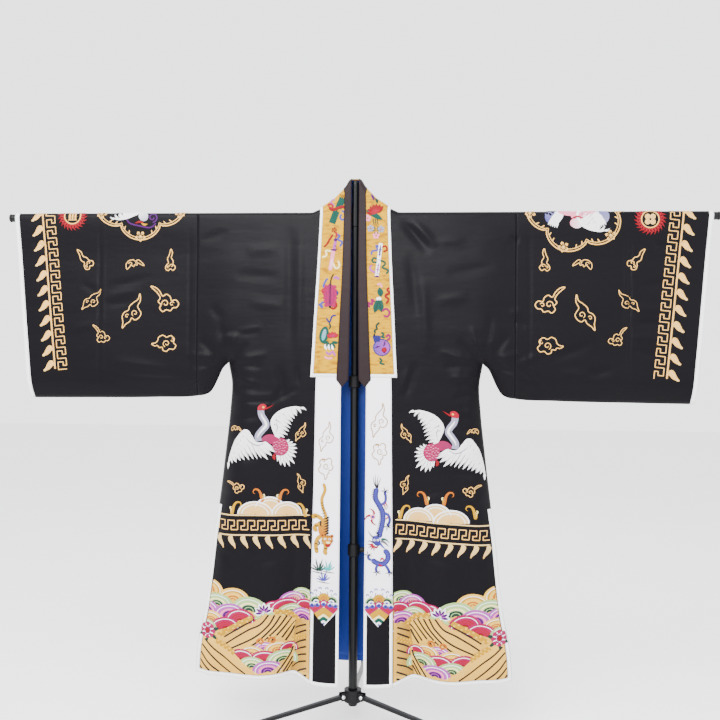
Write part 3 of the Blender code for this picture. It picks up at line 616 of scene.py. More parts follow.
class Dye:
    """A material's node tree, written as expressions."""

    def __init__(self, name: str) -> None:
        """Start a material with one Principled shader.

        Args:
            name: The material's name.
        """
        self.material = bpy.data.materials.new(name)
        self.material.use_nodes = True
        self.tree = self.material.node_tree
        self.shader = self.tree.nodes["Principled BSDF"]

    def node(self, kind: str, settings: dict | None = None, values: dict | None = None) -> bpy.types.Node:
        """Add a node.

        Args:
            kind: The node's type.
            settings: Its properties, set first. The key stops gives a colour ramp's places and colours.
            values: What each input holds: a Value, another node's socket, or a plain value.

        Returns:
            The node.
        """
        made = self.tree.nodes.new(kind)
        for key, setting in (settings or {}).items():
            if key == "stops":
                self.stops(made.color_ramp, setting)
            else:
                setattr(made, key, setting)
        for key, value in (values or {}).items():
            if isinstance(value, Value):
                self.tree.links.new(value.socket, made.inputs[key])
            elif isinstance(value, Socket):
                self.tree.links.new(value, made.inputs[key])
            else:
                made.inputs[key].default_value = value
        return made

    @staticmethod
    def stops(ramp: bpy.types.ColorRamp, stops: Sequence[tuple[float, Colour]]) -> None:
        """Set a ramp's two or more stops.

        Args:
            ramp: The ramp.
            stops: Their positions, in rising order, and colours.
        """
        while len(ramp.elements) < len(stops):
            ramp.elements.new(1.0)
        for element, (position, colour) in zip(ramp.elements, stops):
            element.position = position
            element.color = (*colour, 1.0)

    def mix(self, first: object, second: object, factor: Value | float) -> Socket:
        """Blend two colours.

        Args:
            first: A colour or a colour socket.
            second: Another.
            factor: The second one's share.

        Returns:
            The blended colour's socket.
        """
        pair = [(*c, 1.0) if isinstance(c, tuple) else c for c in (first, second)]
        made = self.node("ShaderNodeMix", {"data_type": "RGBA"}, {0: factor, 6: pair[0], 7: pair[1]})
        return made.outputs[2]

    def place(self, source: str = "Object") -> Socket:
        """Coordinates: Object or UV."""
        return self.node("ShaderNodeTexCoord").outputs[source]

    def stretched(self, place: Socket, scale: Colour, turn: float = 0.0) -> Socket:
        """Coordinates scaled on each axis, and turned about Z."""
        values = {"Vector": place, "Scale": scale, "Rotation": (0.0, 0.0, turn)}
        return self.node("ShaderNodeMapping", {}, values).outputs[0]

    def noise(self, place: Socket, scale: float, detail: float = 2.0) -> Value:
        """Soft noise from 0 to 1."""
        made = self.node("ShaderNodeTexNoise", {}, {"Vector": place, "Scale": scale, "Detail": detail})
        return Value(self, made.outputs[0])

    def axis(self, place: Socket, name: str) -> Value:
        """One coordinate."""
        return Value(self, self.node("ShaderNodeSeparateXYZ", {}, {0: place}).outputs[name])

    def bump(self, height: Value, strength: float) -> None:
        """Feed the shader's normal from a height in metres."""
        made = self.node("ShaderNodeBump", {}, {"Height": height, "Strength": strength, "Distance": 1.0})
        self.tree.links.new(made.outputs[0], self.shader.inputs["Normal"])

    def feed(self, name: str, value: "Value | Socket") -> None:
        """Link a varying value or colour to the shader."""
        socket = value.socket if isinstance(value, Value) else value
        self.tree.links.new(socket, self.shader.inputs[name])

    def steady(self, **values: float | tuple) -> None:
        """Set the shader's own sockets. Underscores in the names stand for spaces."""
        for name, value in values.items():
            self.shader.inputs[name.replace("_", " ")].default_value = value


WEFT_RATIO = 1.6
WEAVE_DEPTH = 0.01 * MM
SLUB_DEPTH = 0.02 * MM
RIB_PITCH = 1.1 * MM
RIB_DEPTH = 0.03 * MM
SOIL_DEPTH = 0.6 * MM
STITCH_DEPTH = 0.10 * MM
FLOSS_DEPTH = 0.18 * MM


@dataclass(frozen=True)
class Satin:
    """Woven satin: warp floats along the cloth's length, soft drag lines across it."""

    name: str
    colour: Colour
    shade: Colour
    roughness: float = 0.40
    sheen: float = 0.05
    gloss: float = 0.20
    floats: float = 0.45 * MM
    rumple: float = 1.0 * MM
    crinkle: float = 0.0

    def material(self) -> bpy.types.Material:
        """Make the finish.

        Returns:
            The material.
        """
        dye = Dye(self.name)
        place = dye.place()
        uv = dye.place("UV")
        drag = dye.noise(dye.stretched(place, (5.0, 5.0, 17.0)), 1.0, 3.0)
        broad = dye.noise(dye.stretched(place, (3.0, 3.0, 4.5)), 1.0, 2.0)
        slub = dye.noise(dye.stretched(uv, (900.0, 60.0, 1.0)), 1.0, 1.0)
        fine = dye.noise(dye.stretched(place, (46.0, 46.0, 150.0), 0.25), 1.0, 1.5)
        warp = (dye.axis(uv, "X") * (math.tau / self.floats)).sine()
        weft = (dye.axis(uv, "Y") * (math.tau / self.floats / WEFT_RATIO)).sine()
        # Base colour: random tone from broad noise and slubs. Where crinkle is set, it adds dark lines from the
        # crinkles' fine noise, a painted shade of the crinkles.
        tone_and_crinkle_shade = fine.apart(5.0) * 7.0 + broad * 0.12 if self.crinkle else broad * 0.75 + slub * 0.25
        dye.feed("Base Color", dye.mix(self.colour, self.shade, tone_and_crinkle_shade))
        dye.feed("Roughness", drag * 0.14 + slub * 0.06 + (self.roughness - 0.09))
        height = drag * self.rumple * 2.2 + broad * self.rumple * 3.0 + warp * weft * WEAVE_DEPTH
        dye.bump(height + slub * SLUB_DEPTH + fine * self.crinkle, 1.0)
        dye.steady(Sheen_Weight=self.sheen, Sheen_Roughness=0.35, Specular_IOR_Level=self.gloss)
        return dye.material


@dataclass(frozen=True)
class Tape:
    """White bias tape with a fine rib across it."""

    name: str
    colour: Colour = (0.86, 0.87, 0.87)

    def material(self) -> bpy.types.Material:
        """Make the finish.

        Returns:
            The material.
        """
        dye = Dye(self.name)
        uv = dye.place("UV")
        rib = (dye.axis(uv, "Y") * (math.tau / RIB_PITCH)).sine()
        soil = dye.noise(dye.place(), 14.0, 3.0)
        grey = tuple(c * 0.86 for c in self.colour)
        dye.feed("Base Color", dye.mix(self.colour, grey, soil))
        dye.feed("Roughness", soil * 0.15 + 0.5)
        dye.bump(rib * RIB_DEPTH + soil * SOIL_DEPTH, 1.0)
        dye.steady(Sheen_Weight=0.2)
        return dye.material


@dataclass(frozen=True)
class Floss:
    """Silk embroidery floss: each stroke's own colour, with its stitches lying across it."""

    name: str
    pitch: float = 0.0011
    metallic: float = 0.0
    roughness: float = 0.42
    sheen: float = 0.02

    def material(self) -> bpy.types.Material:
        """Make the finish.

        Returns:
            The material.
        """
        dye = Dye(self.name)
        uv = dye.place("UV")
        colour = dye.node("ShaderNodeAttribute", {"attribute_name": THREAD}).outputs["Color"]
        slant = dye.axis(uv, "X") + dye.axis(uv, "Y") * 0.35
        stitch = (slant * (math.tau / self.pitch)).sine()
        uneven = dye.noise(dye.stretched(uv, (420.0, 90.0, 1.0)), 1.0, 2.0)
        groove_shade_and_tone = dye.node("ShaderNodeMix", {"data_type": "RGBA", "blend_type": "MULTIPLY"},
                        {0: 1.0, 6: colour, 7: (0.66, 0.64, 0.62, 1.0)}).outputs[2]
        # The colour darkens in the troughs of the stitch relief, a painted shade in the grooves between stitches. It
        # also varies with the floss's uneven tone.
        dye.feed("Base Color", dye.mix(colour, groove_shade_and_tone, (0.5 - stitch * 0.22) * 0.6 + uneven * 0.4))
        dye.feed("Roughness", uneven * 0.2 + (self.roughness - 0.1))
        dye.bump(stitch * STITCH_DEPTH + uneven * FLOSS_DEPTH, 0.8)
        dye.steady(Sheen_Weight=self.sheen, Metallic=self.metallic, Specular_IOR_Level=0.12)
        return dye.material


@dataclass(frozen=True)
class Coat:
    """Painted metal, plastic or rubber of the stand."""

    name: str
    colour: Colour
    roughness: float
    metallic: float = 0.0
    grain: float = 900.0
    relief: float = 0.00002
    gloss: float = 0.5

    def material(self) -> bpy.types.Material:
        """Make the finish.

        Returns:
            The material.
        """
        dye = Dye(self.name)
        place = dye.place()
        fine = dye.noise(place, self.grain, 2.0)
        rubbed = dye.noise(dye.stretched(place, (40.0, 40.0, 9.0)), 1.0, 4.0)
        lighter = tuple(min(1.0, c * 1.5 + 0.0008) for c in self.colour)
        dye.feed("Base Color", dye.mix(self.colour, lighter, rubbed.apart(3.0)))
        dye.feed("Roughness", rubbed * 0.22 + (self.roughness - 0.11))
        dye.bump(fine * self.relief + rubbed * self.relief, 1.0)
        dye.steady(Metallic=self.metallic, Specular_IOR_Level=self.gloss)
        return dye.material


BLACK_SATIN = Satin("black_satin", (0.0024, 0.0020, 0.0030), (0.0040, 0.0034, 0.0048), 0.36, 0.005, 0.062)
BLUE_LINING = Satin("blue_lining", (0.004, 0.022, 0.200), (0.008, 0.036, 0.270), 0.42, 0.03)
# The yellow satin's second colour mostly gives the painted shade of its crinkles.
YELLOW_SATIN = Satin("yellow_satin", (0.470, 0.250, 0.0003), (0.270, 0.120, 0.0002), 0.46, 0.0, 0.03,
                     rumple=2.0 * MM, crinkle=0.7 * MM)
WHITE_SATIN = Satin("white_satin", (0.840, 0.830, 0.890), (0.780, 0.770, 0.840), 0.42, 0.0)
BROWN_SATIN = Satin("brown_satin", (0.010, 0.0055, 0.0065), (0.015, 0.009, 0.010), 0.45, 0.01, 0.09)
WHITE_TAPE = Tape("white_tape")
SILK = Floss("silk_floss")
GOLD = Floss("gold_thread", 0.0014, 0.30, 0.40, 0.05)
POWDER = Coat("black_powder_coat", (0.0026, 0.0028, 0.0034), 0.34, 0.0, 1400.0, 0.00001, 0.20)
MOULDED = Coat("black_moulded_plastic", (0.0034, 0.0034, 0.0040), 0.46, 0.0, 700.0, 0.00003, 0.16)
STEEL = Coat("rivet_steel", (0.60, 0.60, 0.61), 0.28, 1.0, 600.0, 0.00001)
RUBBER = Coat("foot_rubber", (0.008, 0.008, 0.008), 0.75, 0.0, 500.0, 0.00004, 0.20)

MADE: dict[str, bpy.types.Material] = {}


def finish(kind: "Satin | Tape | Floss | Coat") -> bpy.types.Material:
    """Make a finish's material, once.

    Args:
        kind: The finish.

    Returns:
        The material.
    """
    if kind.name not in MADE:
        MADE[kind.name] = kind.material()
    return MADE[kind.name]


def solid_mesh(name: str, points: Array, faces: Array, uvs: Array, finishes: Sequence) -> bpy.types.Object:
    """Make a mesh object at the origin.

    Args:
        name: The piece's name.
        points: Its vertices.
        faces: Its faces, as rows of vertex numbers.
        uvs: A place on the cloth for each vertex.
        finishes: Its materials' finishes, in slot order.

    Returns:
        The object.
    """
    mesh = bpy.data.meshes.new(name)
    mesh.from_pydata(points.reshape(-1, 3).tolist(), [], faces.tolist())
    corners = np.zeros(len(mesh.loops), np.int32)
    mesh.loops.foreach_get("vertex_index", corners)
    layer = mesh.uv_layers.new(name="Cloth")
    layer.data.foreach_set("uv", uvs.reshape(-1, 2)[corners].astype(np.float32).ravel())
    mesh.shade_smooth()
    for kind in finishes:
        mesh.materials.append(finish(kind))
    item = bpy.data.objects.new(name, mesh)
    bpy.context.scene.collection.objects.link(item)
    return item


def report(item: bpy.types.Object, slot: str | None = None, nodes: Sequence[str] = ()) -> bpy.types.Object:
    """Let a finished piece ride with the part and log it.

    Args:
        item: The piece.
        slot: The record's material slot.
        nodes: The solids that it stands for.

    Returns:
        The piece.
    """
    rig.ride(item, BODY)
    if slot:
        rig.slot(item, slot)
    if nodes:
        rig.replaces(item, *nodes)
    log.info("%s: %d faces", item.name, len(item.data.polygons))
    return item


@dataclass
class Cut:
    """A grid of cloth: its places, the way out at each, and which cells are cloth."""

    x: Array
    run: Array
    layer: Layer
    lift: float = 0.0
    keep: Array | None = None
    wall: float = CLOTH
    strip: float = 0.0

    def sew(self, name: str, nodes: Sequence[str], face: object, inside: object = None, held: str = "laid",
            rests_on: Sequence[str] = BAR, slot: str = "") -> None:
        """Make the piece, give it its wall and declare its cut.

        Args:
            name: The piece's name.
            nodes: The solids that it stands for.
            face: The finish of its outer face and edges.
            inside: The finish of its inner face, where it is another.
            held: How it is held.
            rests_on: What it hangs from or lies on.
            slot: The record's material slot, where its name isn't the finish's.
        """
        points, out = DRAPE.lay(self.layer, self.x, self.run, self.lift)
        rows, columns = self.x.shape
        number = np.arange(rows * columns).reshape(rows, columns)
        quads = np.stack([number[:-1, :-1], number[:-1, 1:], number[1:, 1:], number[1:, :-1]], axis=-1)
        kept = quads.reshape(-1, 4) if self.keep is None else quads[self.keep]
        flat = points.reshape(-1, 3)
        a, b, c, d = (flat[kept[:, i]] for i in range(4))
        area = np.linalg.norm(np.cross(c - a, d - b), axis=1) / 2
        sense = np.einsum("ij,ij->i", np.cross(c - a, d - b), out.reshape(-1, 3)[kept[:, 0]])
        if sense.sum() < 0:
            kept = kept[:, ::-1]
        used, kept = np.unique(kept, return_inverse=True)
        uvs = np.stack([self.x, self.run], axis=-1).reshape(-1, 2)[used]
        item = solid_mesh(name, flat[used], kept.reshape(-1, 4), uvs, [face, inside or face])
        wall = item.modifiers.new("Wall", "SOLIDIFY")
        wall.thickness = self.wall
        wall.offset = -1.0
        wall.material_offset = 1
        report(item, slot or face.name, nodes)
        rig.sheet(item, held=held, rests_on=rests_on, **self.flat_size(points, float(area.sum())))

    def flat_size(self, points: Array, area: float) -> dict[str, object]:
        """The cut's width, length and area, measured along the cloth. A bent strip counts as a straight one.

        Args:
            points: The grid of points.
            area: The cloth's area.

        Returns:
            The sizes for the sheet's declaration.
        """
        if self.strip:
            return {"flat": (self.strip, area / self.strip)}
        cells = np.ones(np.subtract(self.x.shape, 1), bool) if self.keep is None else self.keep
        cloth = np.pad(cells, 1)
        across = np.linalg.norm(np.diff(points, axis=1), axis=2) * (cloth[1:, 1:-1] | cloth[:-1, 1:-1])
        along = np.linalg.norm(np.diff(points, axis=0), axis=2) * (cloth[1:-1, 1:] | cloth[1:-1, :-1])
        width, length = float(across.sum(axis=1).max()), float(along.sum(axis=0).max())
        return {"flat": (width, length), "area": min(area, width * length)}


CELL = 5.6 * MM
LINING_CELL = 9.0 * MM
OVER_STEPS = 5
ACROSS = 15
COLLAR_SLOT = "yellow_collar"
BINDING = 0.011
BESIDE_BAND = 2.02
HEM_SPAN = 0.3
PIPING_WIDTH = 0.009
STRIP_LEAST = 0.010
COLLAR_EDGE = 2.80
COLLAR_PIPING = 0.36
PIPING_GAP = 0.015
COLLAR_BACK_FOOT = 1.350
GUARD_BACK_FOOT = 1.380
LAPEL_POINT = 0.290
LAPEL_SHOULDER = 0.333
GUARD_TIP = 0.930
GUARD_SHOULDER = 0.950
GUARD_INNER = ((GUARD_TIP, -0.58), (COLLAR_FOOT, -0.56), (1.200, -0.30), (1.396, -0.03))
GUARD_OUTER = ((GUARD_TIP, 0.40), (COLLAR_FOOT, 0.40), (1.200, 0.44), (1.396, 0.52))
CUFF_TAPE = 0.012
LINING_FOOT = 0.163
LINING_TOP = 1.270
LINING_SIDE = 0.024
ON_CLOTH = LAYER + TAPE
ON_BAND = LAYER + LEVEL + TAPE
HALF_TURN = R * math.pi / 2
RIDGE = BAR_Z + HALF_TURN


def spaced(start: float, end: float, cell: float = CELL) -> Array:
    """Even places from start to end, about a cell apart."""
    return np.linspace(start, end, max(2, round(abs(end - start) / cell) + 1))


def rows_to_ridge(start: float, cell: float = CELL) -> Array:
    """Heights of rows from start up the wall, and over the bar as far as the ridge."""
    over = BAR_Z + HALF_TURN * np.arange(1, OVER_STEPS + 1) / OVER_STEPS
    return np.concatenate([spaced(start, BAR_Z, cell), over])


def band_x(layer: Layer, column: Array, height: Array) -> Array:
    """Distance from the centre of a column of the band beside the opening.

    Args:
        layer: Front or back.
        column: Column numbers. On the front, 0 is the opening's edge. On the back, 0 is the centre, 1 is
            where the front has its edge, and those below zero are on the left.
        height: Heights of the rows.

    Returns:
        The distance.
    """
    edge = DRAPE.row("edge", height)
    band = table(height, BAND_HEIGHTS, BAND_WIDTHS)
    number = column if layer is FRONT else np.abs(column) - 1
    x = np.where(number <= 2, edge + band / 2 * number, edge + band + BEYOND_BAND * (number - 2))
    if layer is BACK:
        x = np.where(number < 0, SEAM / 2 + (edge - SEAM / 2) * (number + 1), x) * np.where(column < 0, -1, 1)
    return x


@dataclass(frozen=True)
class BodyPanel:
    """One front or back panel with the root of its sleeve, cut to the join seam."""

    layer: Layer
    side: Side

    @property
    def name(self) -> str:
        """The panel's name."""
        return f"{self.layer.name}_{self.side.name}".lower()

    def inner(self, height: Array) -> Array:
        """The edge at the opening, or the centre back seam."""
        return DRAPE.row("edge", height) if self.layer is FRONT else np.full(np.shape(height), SEAM / 2)

    def build(self) -> None:
        """Make the panel and the tape of its hem and slit."""
        low = spaced(HEM[self.layer], UNDERARM)
        heights = np.concatenate([low[:-1], rows_to_ridge(UNDERARM)])[:, None]
        share = spaced(0, 1, CELL / UNDERARM_X)[None, :]
        inner = self.inner(heights)
        body_x = inner + (DRAPE.row("side", heights) - inner) * share
        root_x = np.repeat(spaced(UNDERARM_X, JOIN_X - SEAM / 2)[None, 1:], len(heights), axis=0)
        stretch = (BAR_Z - DRAPE.sleeve_foot(root_x)) / (BAR_Z - UNDERARM)
        root_run = np.where(heights < BAR_Z, BAR_Z - (BAR_Z - heights) * stretch, heights)
        x = np.concatenate([body_x, root_x], axis=1)
        run = np.concatenate([DRAPE.run(self.layer, body_x, heights), root_run], axis=1)
        keep = np.ones((x.shape[0] - 1, x.shape[1] - 1), bool)
        keep[: len(low) - 1, body_x.shape[1] - 1:] = False
        cut = Cut(x * self.side.value, run, self.layer, 0.0, keep)
        cut.sew(self.name + "_cloth", [self.name], BLACK_SATIN, BLUE_LINING, "hung")
        self.bind()

    def bind(self) -> None:
        """White tape along the hem and up the side slit."""
        hem = HEM[self.layer]
        heights = np.concatenate([[hem, hem + BINDING / 2], spaced(hem + BINDING, SLIT_TOP)])[:, None]
        start = band_x(FRONT, BESIDE_BAND, heights) if self.layer is FRONT else self.inner(heights)
        side = DRAPE.row("side", heights)
        share = spaced(0, 1, CELL / HEM_SPAN)[None, :]
        x = np.concatenate([start + (side - BINDING - start) * share, side - BINDING / 2, side], axis=1)
        keep = np.zeros((x.shape[0] - 1, x.shape[1] - 1), bool)
        keep[:2] = True
        keep[:, -2:] = True
        run = DRAPE.run(self.layer, x, heights)
        cut = Cut(x * self.side.value, run, self.layer, ON_CLOTH, keep, TAPE, BINDING)
        node = "binding_" + self.name
        cut.sew(node + "_tape", [node], WHITE_TAPE, rests_on=[self.name + "_cloth"])


@dataclass(frozen=True)
class Sleeve:
    """A wide sleeve, cut in one piece with its fold on top, and the white tape of its cuff."""

    side: Side

    def build(self) -> None:
        """Make the sleeve and its cuff tape."""
        word = self.side.name.lower()
        down = spaced(1, 0, CELL / (BAR_Z - UNDERARM))[:, None]
        turn = spaced(0, math.pi, math.pi / (2 * OVER_STEPS))[1:-1, None]
        down = np.concatenate([down, np.zeros_like(turn), down[::-1]])
        over = np.concatenate([np.zeros(len(down[: (len(down) - len(turn)) // 2])), turn[:, 0] * R])
        over = np.concatenate([over, np.full(len(down) - len(over), math.pi * R)])[:, None]
        start = JOIN_X + SEAM / 2
        end = CUFF_TOP_X + (CUFF_FOOT_X - CUFF_TOP_X) * down
        nodes = [f"sleeve_{word}_front", f"sleeve_{word}_back"]
        x = start + (end - start) * spaced(0, 1, CELL / (CUFF_TOP_X - JOIN_X))[None, :]
        self.cut(x, down, over).sew(f"sleeve_{word}", nodes, BLACK_SATIN, BLUE_LINING, "hung")
        x = end - CUFF_TAPE * np.array([1.0, 0.5, 0.0])[None, :]
        tape = self.cut(x, down, over, ON_CLOTH, TAPE)
        nodes = [f"cuff_{word}_front", f"cuff_{word}_back"]
        tape.sew(f"cuff_{word}_tape", nodes, WHITE_TAPE, held="folded", rests_on=[f"sleeve_{word}"])

    def cut(self, x: Array, down: Array, over: Array, lift: float = 0.0, wall: float = CLOTH) -> Cut:
        """A cut from the front's lower edge over the bar to the back's.

        Args:
            x: Distances from the centre.
            down: Share of the way down from the bar, for each row.
            over: Way over the bar, for each row.
            lift: How far it lies over the sleeve.
            wall: Its thickness.

        Returns:
            The cut.
        """
        drop = down * (BAR_Z - DRAPE.sleeve_foot(x))
        past = over >= math.pi * R - 1e-9
        run = np.where(past, BAR_Z + math.pi * R + drop, BAR_Z - drop + over)
        return Cut(x * self.side.value, run, FRONT, lift, None, wall)


@dataclass(frozen=True)
class OpeningEdge:
    """Black band, white edging, lapel, collar and neck guard of one front."""

    side: Side

    def cut(self, columns: Array, heights: Array, lift: float, keep: Array | None = None,
            strip: float = 0.0) -> Cut:
        """A cut on the front panel.

        Args:
            columns: Column numbers, for each place or each column.
            heights: Heights, for each place or each row.
            lift: How far it lies over the panel.
            keep: Which cells are cloth.
            strip: Width of a strip.

        Returns:
            The cut.
        """
        columns, heights = np.broadcast_arrays(columns, heights)
        x = band_x(FRONT, columns, heights)
        return Cut(x * self.side.value, DRAPE.run(FRONT, x, heights), FRONT, lift, keep, TAPE, strip)

    def build(self) -> None:
        """Make the pieces, from the panel outwards."""
        word = self.side.name.lower()
        panel, band = f"front_{word}_cloth", f"band_{word}_satin"
        hem = HEM[FRONT]
        across = np.linspace(0, 2, ACROSS)[None, :]
        whole = self.cut(across, rows_to_ridge(hem)[:, None], ON_CLOTH)
        whole.sew(band, [f"front_band_{word}"], BLACK_SATIN, rests_on=[panel])

        edged = np.array([0, 0.1, 0.2, 0.4, 0.6, 0.8, 1.0, 1.2, 1.4, 1.6, 1.8, 1.9, 2.0])[None, :]
        slope = LAPEL_SHOULDER - LAPEL_POINT
        ends = LAPEL_SHOULDER - slope * (1 - np.abs(edged - 1)) - 2 * SEAM
        rise = spaced(0, 1, CELL / (LAPEL_POINT - hem))[:, None]
        heights = np.concatenate([np.full_like(edged, hem), hem + BINDING + (ends - hem - BINDING) * rise])
        keep = np.zeros((heights.shape[0] - 1, edged.shape[1] - 1), bool)
        keep[0] = keep[:, :2] = keep[:, -2:] = True
        piping = self.cut(edged, heights, ON_BAND, keep, BINDING)
        piping.sew(f"band_edging_{word}", [f"band_piping_{word}"], WHITE_TAPE, rests_on=[band])

        foot = LAPEL_SHOULDER - slope * (1 - np.abs(across - 1))
        top = COLLAR_FOOT - SEAM
        heights = foot + (top - foot) * spaced(0, 1, CELL / (top - LAPEL_POINT))[:, None]
        lapel = self.cut(across, heights, ON_BAND)
        lapel.sew(f"lapel_{word}_satin", [f"lapel_{word}"], WHITE_SATIN, rests_on=[band])

        inner = COLLAR_EDGE - COLLAR_PIPING
        foot = COLLAR_FOOT + PIPING_WIDTH
        wide = np.concatenate([across[0], np.linspace(2, inner - PIPING_GAP, 3)[1:]])[None, :]
        collar = self.cut(wide, rows_to_ridge(foot + SEAM)[:, None], ON_BAND)
        silk = f"collar_{word}_silk"
        collar.sew(silk, [f"collar_{word}"], YELLOW_SATIN, rests_on=[band], slot=COLLAR_SLOT)

        wide = np.concatenate([across[0], np.linspace(2, inner, 3)[1:], [COLLAR_EDGE]])[None, :]
        heights = np.concatenate([[COLLAR_FOOT, foot - PIPING_WIDTH / 2], rows_to_ridge(foot)])[:, None]
        keep = np.zeros((len(heights) - 1, wide.shape[1] - 1), bool)
        keep[:2] = keep[:, -1:] = True
        edging = self.cut(wide, heights, ON_BAND, keep, STRIP_LEAST)
        edging.sew(f"collar_edging_{word}", [f"collar_piping_{word}"], WHITE_TAPE, rests_on=[band])

        share = np.linspace(0, 1, 7)[None, :]
        low = GUARD_SHOULDER - (GUARD_SHOULDER - GUARD_TIP) * (1 - np.abs(2 * share - 1))
        rise = spaced(0, 1, CELL / (BAR_Z - GUARD_TIP))[:, None]
        over = rows_to_ridge(BAR_Z)[2:, None] + 0 * share
        heights = np.concatenate([low + (BAR_Z - low) * rise, over])
        inside, outside = (np.interp(heights, *zip(*line)) for line in (GUARD_INNER, GUARD_OUTER))
        guard = self.cut(inside + (outside - inside) * share, heights, ON_BAND + LEVEL)
        guard.sew(f"guard_{word}_satin", [f"guard_{word}"], BROWN_SATIN, rests_on=[silk])


class BackNeck:
    """Collar, edging and guard behind the neck, and the blue lining inside the back."""

    @staticmethod
    def cut(columns: Array, heights: Array, lift: float, keep: Array | None = None,
            strip: float = 0.0) -> Cut:
        """A cut across both back panels.

        Args:
            columns: Column numbers, below zero on the left.
            heights: Heights of the rows.
            lift: How far it lies over the panels.
            keep: Which cells are cloth.
            strip: Width of a strip.

        Returns:
            The cut.
        """
        columns, heights = np.broadcast_arrays(columns[None, :], heights[:, None])
        x = band_x(BACK, columns, heights)
        return Cut(x, DRAPE.run(BACK, x, heights), BACK, lift, keep, TAPE, strip)

    @staticmethod
    def mirrored(*columns: float) -> Array:
        """Set closely spaced columns on both sides of the centre.

        Args:
            columns: Column numbers on one side, in rising order.

        Returns:
            The column numbers of both sides.
        """
        steps = [np.linspace(a, b, max(2, round((b - a) * 7)))[1:] for a, b in zip(columns, columns[1:])]
        half = np.concatenate([[columns[0]], *steps])
        return np.concatenate([-half[::-1], half[1:] if columns[0] == 0 else half])

    def build(self) -> None:
        """Make the pieces."""
        panels = ["back_left_cloth", "back_right_cloth"]
        inner = 1 + COLLAR_EDGE - COLLAR_PIPING
        foot = COLLAR_BACK_FOOT + PIPING_WIDTH
        collar = self.cut(self.mirrored(0, 1, 3, inner - PIPING_GAP), rows_to_ridge(foot + SEAM), ON_CLOTH)
        collar.sew("collar_back_silk", ["collar_back"], YELLOW_SATIN, rests_on=panels, slot=COLLAR_SLOT)

        columns = self.mirrored(0, 1, 3, inner, inner + 2 / 7, 1 + COLLAR_EDGE)
        heights = np.concatenate([[COLLAR_BACK_FOOT, foot - PIPING_WIDTH / 2], rows_to_ridge(foot)])
        keep = np.zeros((len(heights) - 1, len(columns) - 1), bool)
        middle = np.abs(columns[:-1] + columns[1:]) / 2
        keep[:2] = True
        keep[:, middle > inner] = True
        edging = self.cut(columns, heights, ON_CLOTH, keep, STRIP_LEAST)
        edging.sew("collar_edging_back", ["collar_piping_back"], WHITE_TAPE, rests_on=panels)

        columns = self.mirrored(0, 1, 1 + GUARD_OUTER[-1][1])
        guard = self.cut(columns, rows_to_ridge(GUARD_BACK_FOOT), ON_CLOTH + LEVEL)
        guard.sew("guard_back_satin", ["guard_back"], BROWN_SATIN, rests_on=["collar_back_silk"])

        heights = spaced(LINING_FOOT, LINING_TOP, LINING_CELL)[:, None]
        share = spaced(-1, 1, LINING_CELL / UNDERARM_X)[None, :]
        x = (DRAPE.row("side", heights) - LINING_SIDE) * share
        lining = Cut(x, DRAPE.run(BACK, x, heights), BACK, -(CLOTH + LINING_EASE), None, TAPE)
        lining.sew("blue_back_lining", ["back_lining"], BLUE_LINING, held="hung", rests_on=panels)


class Thread(NamedTuple):
    """A colour of floss, or of metal thread."""

    colour: Colour
    metal: bool = False


GILT = Thread((0.74, 0.42, 0.11), True)
PALE_GILT = Thread((0.72, 0.49, 0.19), True)
WHITE = Thread((0.880, 0.880, 0.910))
CREAM = Thread((0.82, 0.72, 0.33))
GREY = Thread((0.105, 0.105, 0.124))
PALE_GREY = Thread((0.246, 0.246, 0.346))
RED = Thread((0.208, 0.0003, 0.005))
CORAL = Thread((0.29, 0.001, 0.016))
PINK = Thread((0.29, 0.001, 0.063))
BLUSH = Thread((0.78, 0.22, 0.34))
ROSE = Thread((0.207, 0.019, 0.074))
ORANGE = Thread((0.41, 0.105, 0.0003))
YELLOW = Thread((0.45, 0.23, 0.0003))
STRAW = Thread((0.74, 0.43, 0.06))
BEIGE = Thread((0.66, 0.36, 0.05))
SAND = Thread((0.345, 0.175, 0.019))
BROWN = Thread((0.030, 0.012, 0.010))
INK = Thread((0.008, 0.007, 0.010))
GREEN = Thread((0.007, 0.032, 0.022))
TEAL = Thread((0.0005, 0.053, 0.038))
MINT = Thread((0.31, 0.47, 0.165))
PALE_TEAL = Thread((0.01, 0.346, 0.346))
VIOLET = Thread((0.053, 0.0035, 0.088))
LILAC = Thread((0.345, 0.053, 0.345))
MAGENTA = Thread((0.207, 0.0005, 0.074))
BLUE = Thread((0.016, 0.013, 0.124))
SKY = Thread((0.045, 0.045, 0.29))


class Form(Enum):
    """How a stroke's width runs along it."""

    EVEN = "even"
    BUTT = "butt"
    LEAF = "leaf"
    FEATHER = "feather"
    TAPER = "taper"
    DROP = "drop"
    DROP_NEAR = "drop near"
    ROUND = "round"

    def width(self, t: Array, slim: float) -> Array:
        """Share of the full width at each place.

        Args:
            t: Share of the way along.
            slim: The stroke's width over its length.

        Returns:
            The shares.
        """
        if self is Form.BUTT:
            return np.ones_like(t)
        if self is Form.FEATHER:
            return np.maximum(np.minimum(1.0, 2.6 * (1 - t)) ** 0.8 * np.minimum(1.0, 0.55 + 3 * t), 0.05)
        if self is Form.LEAF:
            return np.maximum(np.sin(math.pi * t) ** 0.75, 0.05)
        if self is Form.TAPER:
            return np.maximum((1 - t) ** 0.7 * np.minimum(1, np.sqrt(t / max(slim / 2, 0.02)) + 0.3), 0.04)
        if self is Form.DROP:
            return np.maximum(np.sin(math.pi * np.clip(t, 0, 1) ** 1.4) ** 0.8, 0.05)
        if self is Form.DROP_NEAR:
            return np.maximum(np.sin(math.pi * np.clip(t, 0, 1) ** 0.62) ** 0.7, 0.25)
        if self is Form.ROUND:
            return np.sqrt(np.maximum(1 - (2 * t - 1) ** 2, 0.004))
        end = np.clip(np.minimum(t, 1 - t) / max(slim / 2, 1e-3), 0, 1)
        return np.sqrt(np.maximum(1 - (1 - end) ** 2, 0.08))


